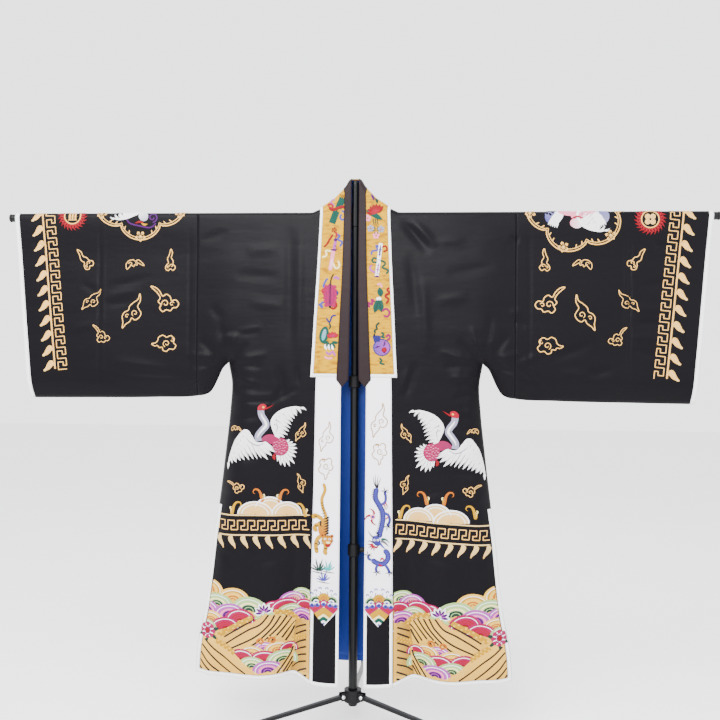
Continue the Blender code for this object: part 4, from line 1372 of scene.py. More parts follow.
EVEN, BUTT, LEAF, FEATHER, TAPER, DROP, DROP_NEAR, ROUND = Form
BASE = 0.50 * MM
LEVEL_STEP = 0.13 * MM
CROWN = 0.50 * MM
CORD_WIDTH = 3.4 * MM
CORD = (np.array([-1.0, 0.0, 1.0]), np.array([0.0, 1.0, 0.0]))
SATIN_STITCH = (np.array([-1.0, -0.6, 0.0, 0.6, 1.0]), np.array([0.0, 0.75, 1.0, 0.75, 0.0]))
STROKE_STEP = 3.0 * MM


def smooth(points: Points, step: float, closed: bool = False) -> Array:
    """Even steps along a soft curve through points.

    Args:
        points: The points.
        step: About how long a step is.
        closed: Whether the curve comes back to its start.

    Returns:
        The curve's points.
    """
    p = np.asarray(points, float)
    if closed:
        p = np.concatenate([p[-2:], p, p[:3]])
    if len(p) > 2:
        t = np.arange(len(p))
        first, last = (2, len(p) - 3) if closed else (0, len(p) - 1)
        fine = np.linspace(first, last, 10 * (last - first) + 1)
        p = np.stack([table(fine, t, p[:, 0]), table(fine, t, p[:, 1])], axis=1)
    length = np.concatenate([[0], np.cumsum(np.linalg.norm(np.diff(p, axis=0), axis=1))])
    at = np.linspace(0, length[-1], max(3, math.ceil(length[-1] / step) + 1))
    return np.stack([np.interp(at, length, p[:, i]) for i in (0, 1)], axis=1)


def about(x: float, y: float, reach: Array | float, turn: Array) -> Array:
    """Points at a reach and an angle from a middle."""
    return np.stack([x + reach * np.cos(turn), y + reach * np.sin(turn)], axis=1)


def arc(x: float, y: float, radius: float, start: float, end: float, steps: int = 0) -> Array:
    """Points of an arc, from one angle to another in degrees."""
    steps = steps or max(4, round(abs(end - start) / 14))
    return about(x, y, radius, np.radians(np.linspace(start, end, steps + 1)))


def swirl(x: float, y: float, reaches: Sequence[float], start: float, bend: float) -> Array:
    """Points that go out from a middle and turn by bend degrees for each unit on the way."""
    reach = np.asarray(reaches, float)
    return about(x, y, reach, np.radians(start + bend * reach))


def coil(x: float, y: float, radius: float, start: float, turns: float, least: float = 0.25) -> Array:
    """Points of a coil that winds in towards its middle. Turns below zero wind clockwise."""
    t = np.linspace(0, 1, max(6, round(abs(turns) * 14)))
    return about(x, y, radius * (1 - (1 - least) * t), math.radians(start) + math.tau * turns * t)


class Hoop:
    """Embroidery worked on one layer of cloth, gathered stroke by stroke and made as one mesh."""

    def __init__(self, name: str, layer: Layer, base: float = 0.0) -> None:
        """Start with no stitches.

        Args:
            name: The piece's name.
            layer: The layer that run is counted on.
            base: How far the worked cloth lies over the panel.
        """
        self.name = name
        self.layer = layer
        self.base = base + BASE
        self.parts: list[tuple[Array, Array, Array, Array, bool]] = []

    def grid(self, places: Array, rise: Array, thread: Thread, stitch: Array | None = None,
             shade: Thread | None = None, level: float = 0) -> None:
        """Add a patch of stitches.

        Args:
            places: Rows and columns of places on the cloth.
            rise: How far each stands up.
            thread: Its thread.
            stitch: Places in the stitches' own direction, for the relief.
            shade: The thread at its last row, where the colour runs.
            level: How many layers of stitches lie under it.
        """
        rows, columns = places.shape[:2]
        stitch = places if stitch is None else stitch
        share = np.linspace(0, 1, rows)[:, None, None]
        last = np.array((shade or thread).colour)
        colour = np.array(thread.colour) * (1 - share) + last * share + np.zeros((rows, columns, 3))
        self.parts.append((places, rise + level * LEVEL_STEP, stitch, colour, thread.metal))

    def stroke(self, path: Array, width: float, thread: Thread, form: Form = EVEN, level: float = 0,
               shade: Thread | None = None, crown: float = CROWN) -> None:
        """Add one stroke of stitches.

        Args:
            path: Its places on the cloth.
            width: Its greatest width.
            thread: Its thread.
            form: How its width runs.
            level: How many layers of stitches lie under it.
            shade: The thread at its end, where the colour runs.
            crown: How far its middle stands up.
        """
        along = np.concatenate([[0], np.cumsum(np.linalg.norm(np.diff(path, axis=0), axis=1))])
        if len(path) < 3 or along[-1] < 1e-5:
            return
        ahead = np.gradient(path, axis=0)
        ahead /= np.maximum(np.linalg.norm(ahead, axis=1, keepdims=True), 1e-9)
        across = np.stack([-ahead[:, 1], ahead[:, 0]], axis=1)
        offsets, heights = CORD if width < CORD_WIDTH else SATIN_STITCH
        half = width / 2 * form.width(along / along[-1], width / along[-1])
        aside = half[:, None] * offsets[None, :]
        tall = crown * min(1.0, width / CORD_WIDTH) * np.sqrt(half / half.max())
        stitch = np.stack([along[:, None] + 0 * aside, aside], axis=-1)
        self.grid(path[:, None, :] + across[:, None, :] * aside[..., None], tall[:, None] * heights[None, :],
                  thread, stitch, shade, level)

    def laid(self, places: Array, rise: Array) -> Array:
        """Points on the cloth."""
        return DRAPE.lay(self.layer, places[:, 0], places[:, 1], self.base + rise)[0]

    def make(self) -> bpy.types.Object:
        """Lay every stroke as one mesh.

        Returns:
            The piece.
        """
        places = np.concatenate([part[0].reshape(-1, 2) for part in self.parts])
        rise = np.concatenate([np.broadcast_to(part[1], part[0].shape[:2]).ravel() for part in self.parts])
        stitch = np.concatenate([part[2].reshape(-1, 2) for part in self.parts])
        colour = np.concatenate([part[3].reshape(-1, 3) for part in self.parts])
        faces, metal, start = [], [], 0
        for grid, _, _, _, gilt in self.parts:
            rows, columns = grid.shape[:2]
            number = np.arange(rows * columns).reshape(rows, columns) + start
            quads = np.stack([number[:-1, :-1], number[1:, :-1], number[1:, 1:], number[:-1, 1:]], axis=-1)
            down, right = np.diff(grid, axis=0)[:, :-1], np.diff(grid, axis=1)[:-1]
            sense = (down[..., 0] * right[..., 1] - down[..., 1] * right[..., 0]).sum()
            if sense * self.layer.value > 0:
                quads = quads[..., ::-1]
            faces.append(quads.reshape(-1, 4))
            metal.append(np.full(len(faces[-1]), gilt))
            start += rows * columns
        item = solid_mesh(self.name, self.laid(places, rise), np.concatenate(faces), stitch, [SILK, GOLD])
        shades = item.data.color_attributes.new(name=THREAD, type="FLOAT_COLOR", domain="POINT")
        shades.data.foreach_set("color", np.concatenate([colour, np.ones((len(colour), 1))], axis=1).ravel())
        item.data.polygons.foreach_set("material_index", np.concatenate(metal).astype(np.int32))
        return item


@dataclass(frozen=True)
class Spot:
    """A place on a hoop where a motif is drawn, in millimetres, with its own size, turn and flip."""

    hoop: Hoop
    x: float
    run: float
    size: float = 1.0
    turn: float = 0.0
    flip: int = 1
    level: float = 0

    def at(self, points: Points) -> Array:
        """Find places on the cloth.

        Args:
            points: The motif's own points.

        Returns:
            Their places.
        """
        p = np.asarray(points, float) * self.size * MM
        cosine, sine = math.cos(math.radians(self.turn)), math.sin(math.radians(self.turn))
        x = p[..., 0] * cosine - p[..., 1] * sine
        y = p[..., 0] * sine + p[..., 1] * cosine
        return np.stack([self.x + x * self.flip, self.run + y], axis=-1)

    def line(self, points: Points, width: float, thread: Thread, form: Form = EVEN, level: float = 0,
             shade: Thread | None = None, closed: bool = False, crown: float = CROWN) -> None:
        """A stroke along a soft curve.

        Args:
            points: The curve's points.
            width: The stroke's width.
            thread: Its thread.
            form: How its width runs.
            level: How many layers of stitches lie under it.
            shade: The thread at its end.
            closed: Whether it comes back to its start.
            crown: How far its middle stands up.
        """
        path = smooth(self.at(points), min(STROKE_STEP, max(1.3 * MM, STROKE_STEP * self.size)), closed)
        self.hoop.stroke(path, width * self.size * MM, thread, form, level + self.level, shade, crown)

    def blob(self, x: float, y: float, wide: float, high: float, thread: Thread, level: float = 0,
             turn: float = 0.0, shade: Thread | None = None) -> None:
        """A filled round or oval.

        Args:
            x: Its middle.
            y: Its middle.
            wide: Its length along its turn.
            high: Its width across.
            thread: Its thread.
            level: How many layers of stitches lie under it.
            turn: Its turn in degrees.
            shade: The thread at its far end.
        """
        cosine, sine = math.cos(math.radians(turn)) * wide / 2, math.sin(math.radians(turn)) * wide / 2
        t = -np.cos(np.linspace(0, math.pi, 9))
        path = self.at(np.stack([x + cosine * t, y + sine * t], axis=1))
        self.hoop.stroke(path, high * self.size * MM, thread, ROUND, level + self.level, shade)

    def rays(self, x: float, y: float, inner: float, outer: float, start: float, end: float, count: int,
             width: float, thread: Thread, form: Form = LEAF, level: float = 0, bend: float = 0.0) -> None:
        """Strokes that stand round a middle.

        Args:
            x: The middle.
            y: The middle.
            inner: Where each starts.
            outer: Where each ends.
            start: The first one's angle in degrees.
            end: The last one's angle.
            count: How many there are.
            width: Their width.
            thread: Their thread.
            form: How their width runs.
            level: How many layers of stitches lie under them.
            bend: How far each bends, in degrees.
        """
        for angle in np.linspace(start, end, count):
            turns = np.radians([angle, angle + bend * 0.4, angle + bend])
            reach = np.array([inner, (inner + outer) / 2, outer])
            self.line(about(x, y, reach, turns), width, thread, form, level)


def on_side(hoop: Hoop, side: Side, x: float, run: float, size: float = 1.0, turn: float = 0.0,
            level: float = 0) -> Spot:
    """A place on one side of the robe, drawn as on the left one and mirrored on the right."""
    return Spot(hoop, x * side.value, run, size, turn, -side.value, level)


class Cloud(Enum):
    """Kinds of couched cloud: the outline's points, and its curls as middle, radius, start and turns."""

    SWEEP = (
        ((-34, 28), (-24, 26), (-15, 18), (-9, 8), (-1, 12), (7, 7), (10, -1), (19, 0), (25, -7), (21, -15),
         (13, -16), (8, -22), (-1, -20), (-8, -24), (-15, -17), (-12, -10), (-18, -3), (-14, 5), (-21, 16)),
        ((-3, -7, 8, 200, -1.1), (11, -8, 5, 20, 1.0)),
    )
    TWIN = (
        ((14, 44), (11, 30), (2, 22), (-7, 12), (-9, 2), (-18, -4), (-22, -14), (-19, -28), (-19, -42),
         (-12, -32), (-3, -24), (1, -15), (9, -19), (18, -13), (22, -2), (16, 7), (12, 14), (17, 28)),
        ((7, -3, 8, 250, -1.1), (-11, -12, 5, 30, 1.0)),
    )
    ARCH = (
        ((-22, -15), (-25, -2), (-17, 9), (-5, 12), (2, 8), (10, 12), (19, 6), (28, -5), (17, -1), (10, 3),
         (6, -4), (0, -1), (-3, -8), (-9, -3), (-14, -7)),
        ((-12, 0, 6, 180, -1.0), (5, 3, 4, 0, 1.0)),
    )
    UPRIGHT = (
        ((3, 34), (7, 23), (4, 12), (9, 3), (9, -5), (15, -13), (9, -21), (2, -17), (-4, -22), (-11, -16),
         (-8, -7), (-3, -2), (-6, 8), (-1, 20)),
        ((5, -9, 5, 200, -1.0), (-4, -13, 4, 20, 1.0)),
    )
    ROUND = (
        ((-34, -3), (-25, -1), (-19, 4), (-16, 13), (-6, 18), (3, 13), (13, 17), (22, 9), (20, 0), (26, -7),
         (20, -16), (10, -15), (3, -21), (-6, -18), (-7, -11), (-15, -12), (-19, -7), (-26, -8)),
        ((3, -2, 9, 250, -1.2), (16, 6, 5, 90, -0.9)),
    )

    def draw(self, spot: Spot, thread: Thread, width: float = 2.3) -> None:
        """Couch the cloud's lines.

        Args:
            spot: Where it is.
            thread: Its thread.
            width: The line's width.
        """
        outline, curls = self.value
        spot.line(outline, width, thread, BUTT, closed=True)
        for x, y, radius, start, turns in curls:
            spot.line(coil(x, y, radius, start, turns), width * 0.9, thread, level=0.5)


class Placed(NamedTuple):
    """A cloud's place on the robe: distance from the centre, height, kind, size and turn."""

    x: float
    run: float
    kind: Cloud
    size: float
    turn: float


SLEEVE_CLOUDS = (
    Placed(0.756, 1.274, Cloud.UPRIGHT, 1.15, 40), Placed(0.614, 1.266, Cloud.ARCH, 0.98, 0),
    Placed(0.515, 1.271, Cloud.UPRIGHT, 1.08, 0), Placed(0.735, 1.166, Cloud.TWIN, 0.86, -22),
    Placed(0.620, 1.134, Cloud.TWIN, 1.18, -6), Placed(0.522, 1.166, Cloud.SWEEP, 1.34, 0),
    Placed(0.704, 1.068, Cloud.SWEEP, 0.88, -6), Placed(0.525, 1.048, Cloud.ROUND, 1.15, 0),
)
ROUNDEL_X = 0.598
SHORE_X = 0.0745
SHORE_DROP = 2.5 * MM
BORDER_X = (0.112, 0.380)
BODY_CLOUDS = (
    Placed(0.143, 0.806, Cloud.TWIN, 0.62, -6), Placed(0.318, 0.655, Cloud.SWEEP, 0.74, 20),
    Placed(0.143, 0.667, Cloud.TWIN, 0.60, 38), Placed(0.324, 0.812, Cloud.ARCH, 0.60, -10),
)


@dataclass(frozen=True)
class SleeveWork:
    """Embroidery of one sleeve: clouds, roundel, sun disc, and the fret border at the cuff."""

    side: Side
    border_top: float
    border_foot: float
    border_low: float
    roundel_past: float
    roundel_turn: float
    disc_x: float
    disc_run: float

    def build(self) -> None:
        """Work the sleeve."""
        word = self.side.name.lower()
        hoop = Hoop(f"sleeve_embroidery_{word}", FRONT)
        for x, run, kind, size, turn in SLEEVE_CLOUDS:
            kind.draw(on_side(hoop, self.side, x, run, size, turn), GILT)
            upside = Spot(hoop, x * self.side.value, 2 * RIDGE - run, size, 180 + turn, self.side.value)
            kind.draw(upside, GILT)
        self.disc(on_side(hoop, self.side, self.disc_x, self.disc_run))
        self.roundel(on_side(hoop, self.side, ROUNDEL_X, RIDGE + self.roundel_past))
        path = self.border(spaced(self.border_low, 2 * RIDGE - self.border_low, 4 * MM), 0.0)
        hoop.stroke(path, 4.6 * MM, GILT, BUTT)
        report(hoop.make())
        self.repeats()

    def border(self, run: Array, aside: float) -> Array:
        """Places along the cuff's border line.

        Args:
            run: The way up the cloth.
            aside: How far towards the cuff.

        Returns:
            The places.
        """
        share = np.abs(RIDGE - run) / (RIDGE - self.border_low)
        x = self.border_top + (self.border_foot - self.border_top) * share + aside
        return np.stack([x * self.side.value, run], axis=1)

    def repeats(self) -> None:
        """Couch the fret and work the drops along the border line, up the front and down the back."""
        word = self.side.name.lower()
        right = self.side is RIGHT
        runs = spaced(self.border_low, 2 * RIDGE - self.border_low, 4 * MM)
        path = self.border(runs, FRET_ASIDE)
        path = path[::-1] if right else path
        couch_fret(f"cuff_fret_{word}", FRONT, path, CUFF_FRET_PITCH, CUFF_FRET_WIDTH)
        for layer in Layer:
            front = layer is FRONT
            half = self.border(runs[runs <= RIDGE] if front else runs[runs >= RIDGE], DROP_ASIDE)
            name = f"cuff_drops_{word}_{layer.name.lower()}"
            drops = Repeat(name, cuff_drop_unit(right == front), CUFF_DROP_PITCH)
            report(drops.along(FRONT, half[::-1] if right else half, inset=12 * MM))

    def disc(self, spot: Spot) -> None:
        """A red sun disc with flames and a gold ring.

        Args:
            spot: Where it is.
        """
        spot.rays(0, 0, 24, 43, 0, 345, 24, 7.5, RED, TAPER, bend=14)
        spot.rays(0, 0, 24, 36, 7, 352, 24, 6.5, CORAL, TAPER, 0.6, bend=-10)
        spot.line(arc(0, 0, 26.5, 0, 360, steps=28), 4.5, RED, BUTT, 1)
        spot.line(arc(0, 0, 23, 0, 360, steps=28), 3.4, GILT, BUTT, 2)
        if self.side is LEFT:
            for x in (-8, 0, 8):
                spot.line(((x, -11), (x, 0), (x, 11)), 5.4, GILT)
            for y in (-12, 12):
                spot.line(((-13, y), (0, y), (13, y)), 2.4, GILT, level=1)
        else:
            for x, y in ((-7, -7), (7, -7), (-7, 7), (7, 7)):
                spot.blob(x, y, 12, 12, GILT)
                spot.line(arc(x, y, 6.5, 0, 360), 1.6, PALE_GILT, BUTT, 1)

    def roundel(self, spot: Spot) -> None:
        """A lobed roundel with gold knots, and a white bird with ribbons in it.

        Args:
            spot: Where it is.
        """
        lobes, reach, bulge = 6, 111.0, 27.0
        for number in range(lobes):
            middle = 270.0 + self.roundel_turn + 360.0 / lobes * number
            angles = np.linspace(middle - 180 / lobes, middle + 180 / lobes, 25)
            radius = reach + bulge * np.sin(np.linspace(0, math.pi, 25)) ** 0.7
            for inside, width in ((0, 3.2), (6.5, 2.2)):
                spot.line(about(0, 0, radius - inside, np.radians(angles)), width, GILT)
            for place in (3, 6, 18, 21):
                turn, start = math.radians(angles[place]), radius[place] - 5
                bend = 0.0009 * (1 if place > 12 else -1)
                spot.line([((start - d) * math.cos(turn + d * bend), (start - d) * math.sin(turn + d * bend))
                           for d in (0, 4, 8, 12)], 3.0, GILT)
            turn = math.radians(middle)
            flower = [(reach + 17) * math.cos(turn), (reach + 17) * math.sin(turn)]
            spot.rays(*flower, 3, 15, middle, middle + 288, 5, 9, GILT, DROP, 1)
            spot.rays(*flower, 4, 11, middle, middle + 288, 5, 3, INK, LEAF, 4)
            spot.blob(*flower, 6, 6, PALE_GILT, 4)
        bird = on_side(spot.hoop, self.side, ROUNDEL_X, spot.run, 0.92, 180, 1)
        Crane(bird, tall=False).draw()
        if self.side is LEFT:
            spot.blob(-22, -62, 46, 22, WHITE, 2, 20)
            spot.blob(8, -72, 30, 26, WHITE, 3, -60, PALE_GREY)
            spot.line(((-70, -58), (-52, -66), (-60, -80), (-44, -76), (-30, -92), (0, -100), (28, -104),
                       (44, -92)), 4.5, VIOLET, level=1)
            spot.line(coil(34, -76, 14, 270, 1.3), 4.5, VIOLET, level=1)
            spot.line(((-16, -92), (-2, -88), (10, -92)), 6, RED, LEAF, 3)
            spot.line(((2, -92), (12, -96), (20, -94)), 6, YELLOW, LEAF, 4)
        else:
            for flip in (-1, 1):
                spot.blob(flip * 62, -34, 58, 44, PALE_GREY, 2, flip * -62, SKY)
                spot.blob(flip * 52, -42, 50, 26, WHITE, 3, flip * -58)
                spot.blob(flip * 26, -30, 50, 18, BLUSH, 4, flip * 10)
                spot.rays(flip * 50, -24, 10, 48, 270 + flip * 34, 270 + flip * 4, 5, 9, WHITE, LEAF, 4)
            spot.blob(0, -38, 34, 30, BLUSH, 4)
            spot.blob(2, -60, 34, 26, WHITE, 5, 12, BLUSH)
            spot.line(((-16, -46), (0, -42), (16, -48)), 6, RED, LEAF, 6)


TAIL_TIPS = ((49, 0), (58, -6), (67, -13), (70, -24), (69, -36), (66, -48), (63, -66), (50, -73), (37, -75),
             (25, -71), (16, -60))
HIGH_WING = ((96, 83), (65, 87), (31, 77), (10, 62), (1, 46), (4, 28), (10, 6))
HIGH_TIPS = ((94, 80), (80, 72), (68, 65), (62, 57), (57, 49), (53, 40), (50, 31), (47, 22), (43, 12),
             (35, 5), (24, 2))
LOW_WING = ((-128, -88), (-122, -65), (-113, -40), (-99, -9), (-83, 12), (-74, 20), (-65, 15), (-57, -2),
            (-40, -12), (-15, -8))
LOW_TIPS = ((-125, -86), (-111, -69), (-99, -66), (-87, -61), (-76, -59), (-63, -58), (-51, -56), (-40, -55),
            (-29, -52), (-20, -50), (-11, -56), (0, -45), (9, -35))
TAIL_ROOT = np.array([24.0, -20.0])
NECK = ((-31, 80), (-29, 65), (-19, 49), (-16, 37), (-26, 25), (-38, 9), (-37, -6))


@dataclass(frozen=True)
class Crane:
    """A white crane in flight, worked in long feather stitches."""

    spot: Spot
    tall: bool = True

    def draw(self) -> None:
        """Work the tail first, then the body, the wings, the neck and the head."""
        spot = self.spot
        for tip in TAIL_TIPS:
            way = np.array(tip) - TAIL_ROOT
            spot.line([TAIL_ROOT + way * share for share in (0, 0.6, 1)], 12, WHITE, FEATHER)
            quill = [TAIL_ROOT + way * share + (0, 3) for share in (0.40, 0.65, 0.88)]
            spot.line(quill, 2.4, GREY, LEAF, 2.5)
        spot.line(((10, -40), (6, -48), (9, -57)), 9, RED, LEAF, 3)
        self.wing(HIGH_WING, HIGH_TIPS, 13, 1)
        spot.line(((-32, -3), (-8, 1), (14, -6), (30, -16)), 26, ROSE, LEAF, 3, PINK)
        spot.blob(24, -21, 46, 50, ROSE, 3.4, 0, PINK)
        for number in range(26):
            reach, turn = 4.0 * math.sqrt(number), 2.4 * number
            x, y = 23 + reach * math.cos(turn), -20 + reach * math.sin(turn)
            spot.line(((x - 3, y - 1), (x, y + 1.2), (x + 3, y - 1)), 1.8, BLUSH, LEAF, 6.4)
        self.wing(LOW_WING, LOW_TIPS, 15, 5)
        spot.line(((-72, 4), (-60, -9), (-40, -18), (-20, -11)), 3.2, PALE_GREY, LEAF, 9)
        spot.line(((11, 48), (15, 32), (11, 16)), 2.6, PALE_GREY, LEAF, 5)
        if not self.tall:
            return
        spot.line(NECK, 18, PALE_GREY, BUTT, 7)
        spot.line(NECK, 8, WHITE, LEAF, 8.5)
        spot.blob(-28, 86, 26, 19, CORAL, 9, 25)
        spot.line(((-19, 82), (-8, 87), (5, 94)), 4.6, RED, TAPER, 9)
        spot.blob(-24, 87, 6.5, 6.5, STRAW, 11)
        spot.blob(-24, 87, 3.2, 3.2, INK, 12)

    def wing(self, edge: Points, tips: Points, width: float, level: float) -> None:
        """One wing: flight feathers from its leading edge to their tips, and the edge over them.

        Args:
            edge: Points of the leading edge, from the tip to the shoulder.
            tips: The feathers' tips, in the same order.
            width: The feathers' width.
            level: How many layers of stitches lie under it.
        """
        line = smooth(edge, 2.0)
        for number, tip in enumerate(tips):
            share = 0.10 + 0.86 * number / (len(tips) - 1)
            root = line[round(share * (len(line) - 1))]
            tip = np.array(tip, float)
            middle = root + (tip - root) * 0.55 + np.array([0, 3.0 * (1 - share)])
            form, wide = (TAPER, 0.62 + 0.12 * number) if number < 2 else (FEATHER, 0.86)
            self.spot.line([root, middle, tip], width * wide, WHITE, form, level)
            aside = np.array([width * 0.30, 0.0])
            end = root + (tip - root) * 0.92 + aside * 0.4
            quill = [root + (tip - root) * 0.30 + aside, middle + aside, end]
            self.spot.line(quill, 2.4, GREY, LEAF, level + 1.6)
        start = np.array(edge[0]) + (np.array(edge[1]) - edge[0]) * 0.25
        self.spot.line([start, *edge[1:]], 12, WHITE, LEAF, level + 3)


class Fan(NamedTuple):
    """A round wave: its middle, its radius and its colours from the rim inwards."""

    x: float
    run: float
    radius: float
    threads: tuple[Thread, ...]


AMBER_WAVE = (STRAW, YELLOW, STRAW, ORANGE, ORANGE)
MINT_WAVE = (MINT, MINT, CREAM, GREEN, GREEN)
LILAC_WAVE = (LILAC, LILAC, BLUSH, VIOLET, VIOLET)
ROSE_WAVE = (PINK, PINK, CORAL, CORAL, RED)
TEAL_WAVE = (PALE_TEAL, TEAL, WHITE, TEAL, GREEN)
FAN_WIDE, FAN_HIGH = 1.20, 0.84
HIGH_FANS = tuple(Fan(*row) for row in (
    (0.398, 0.366, 0.035, AMBER_WAVE), (0.3275, 0.343, 0.039, AMBER_WAVE), (0.134, 0.356, 0.028, MINT_WAVE),
    (0.163, 0.342, 0.031, LILAC_WAVE), (0.373, 0.328, 0.037, MINT_WAVE), (0.281, 0.318, 0.043, MINT_WAVE),
    (0.212, 0.326, 0.024, ROSE_WAVE), (0.182, 0.322, 0.036, ROSE_WAVE), (0.124, 0.326, 0.029, ROSE_WAVE),
    (0.404, 0.309, 0.033, LILAC_WAVE), (0.336, 0.300, 0.039, LILAC_WAVE), (0.169, 0.308, 0.031, MINT_WAVE),
    (0.133, 0.296, 0.034, LILAC_WAVE), (0.306, 0.289, 0.037, ROSE_WAVE), (0.389, 0.285, 0.029, AMBER_WAVE),
    (0.348, 0.265, 0.037, ROSE_WAVE), (0.408, 0.262, 0.029, MINT_WAVE), (0.129, 0.268, 0.025, TEAL_WAVE),
))
LOW_FANS = tuple(Fan(*row) for row in (
    (0.236, 0.214, 0.025, LILAC_WAVE), (0.203, 0.212, 0.028, AMBER_WAVE), (0.174, 0.212, 0.021, ROSE_WAVE),
    (0.270, 0.196, 0.033, AMBER_WAVE), (0.299, 0.184, 0.033, ROSE_WAVE), (0.236, 0.184, 0.034, ROSE_WAVE),
    (0.190, 0.182, 0.034, MINT_WAVE), (0.269, 0.166, 0.033, MINT_WAVE), (0.227, 0.156, 0.034, LILAC_WAVE),
))
WAVE_TOP_X = (0.110, 0.135, 0.165, 0.210, 0.240, 0.285, 0.330, 0.365, 0.400, 0.440)
WAVE_TOP_Z = (0.374, 0.368, 0.366, 0.342, 0.336, 0.344, 0.360, 0.358, 0.376, 0.376)
SLOPE_TOP = ((0.359, 0.236), (0.3085, 0.268), (0.2663, 0.288), (0.2422, 0.306), (0.2271, 0.320))
SLOPE_FOOT = ((0.3145, 0.200), (0.2663, 0.222), (0.2211, 0.240), (0.188, 0.248), (0.161, 0.275),
              (0.154, 0.292))
SHORE_TOP = ((0.430, 0.232), (0.405, 0.240), (0.378, 0.238), (0.351, 0.216), (0.321, 0.197), (0.281, 0.165),
             (0.238, 0.143))
REEF_LEFT = ((0.238, 0.143), (0.206, 0.164), (0.176, 0.194), (0.163, 0.224))
REEF_RIGHT = ((0.176, 0.150), (0.167, 0.166), (0.161, 0.196), (0.157, 0.222))
CLIFF_LEFT = ((0.157, 0.288), (0.163, 0.240), (0.167, 0.184), (0.171, 0.146))
FOAMS = (
    ((0.368, 0.246), (0.318, 0.274), (0.270, 0.301)), ((0.212, 0.318), (0.176, 0.311), (0.144, 0.288)),
    ((0.374, 0.232), (0.350, 0.216), (0.322, 0.198)), ((0.165, 0.238), (0.145, 0.243), (0.124, 0.252)),
)
HILL_LINES = (
    ((0.351, 0.241), (0.308, 0.268), (0.266, 0.296)),
    ((0.346, 0.223), (0.284, 0.264), (0.248, 0.283), (0.224, 0.312)),
    ((0.332, 0.210), (0.266, 0.246), (0.227, 0.280), (0.210, 0.308)),
    ((0.320, 0.199), (0.266, 0.228), (0.218, 0.272), (0.195, 0.305)),
    ((0.236, 0.240), (0.200, 0.275), (0.179, 0.303)),
    ((0.217, 0.240), (0.187, 0.272), (0.167, 0.297)),
    ((0.192, 0.245), (0.172, 0.270), (0.156, 0.288)),
    ((0.183, 0.235), (0.169, 0.255), (0.159, 0.273)),
)
SHORE_LINES = (
    ((0.407, 0.232), (0.378, 0.207), (0.332, 0.172), (0.290, 0.146), (0.264, 0.130)),
    ((0.417, 0.219), (0.387, 0.190), (0.350, 0.156), (0.299, 0.127)),
    ((0.420, 0.199), (0.390, 0.164), (0.335, 0.125)),
    ((0.423, 0.180), (0.402, 0.156), (0.373, 0.133)),
    ((0.424, 0.162), (0.413, 0.148), (0.397, 0.140)),
)
CLIFF_LINES = (
    ((0.157, 0.267), (0.142, 0.274), (0.123, 0.282)),
    ((0.156, 0.249), (0.141, 0.257), (0.123, 0.267)),
    ((0.160, 0.221), (0.142, 0.232), (0.123, 0.241)),
    ((0.162, 0.203), (0.145, 0.211), (0.123, 0.222)),
    ((0.162, 0.183), (0.145, 0.193), (0.123, 0.202)),
    ((0.166, 0.159), (0.148, 0.172), (0.123, 0.183)),
    ((0.152, 0.146), (0.139, 0.154), (0.122, 0.163)),
    ((0.136, 0.139), (0.130, 0.141), (0.122, 0.144)),
)
REEF_LINES = (
    ((0.214, 0.137), (0.193, 0.164), (0.172, 0.195), (0.163, 0.216)),
    ((0.199, 0.136), (0.181, 0.162), (0.165, 0.188)),
    ((0.187, 0.141), (0.175, 0.159), (0.165, 0.174)),
)
CURLS = ((0.247, 0.236), (0.216, 0.240))
GROUND_X = (0.105, 0.442)
GROUND_SUNK = 6 * MM
CLIFF_X = 0.112
CLIFF_RISE = 8 * MM
EDGE_GAP = 3.0 * MM
ROCK_LINE = 4.8 * MM
WAVE_LINE = 2.0 * MM
FOAM_WIDTH = 13 * MM
FOAM_STEPS = 60
KNOT_ASIDE = 3.4 * MM
KNOT = 6.2


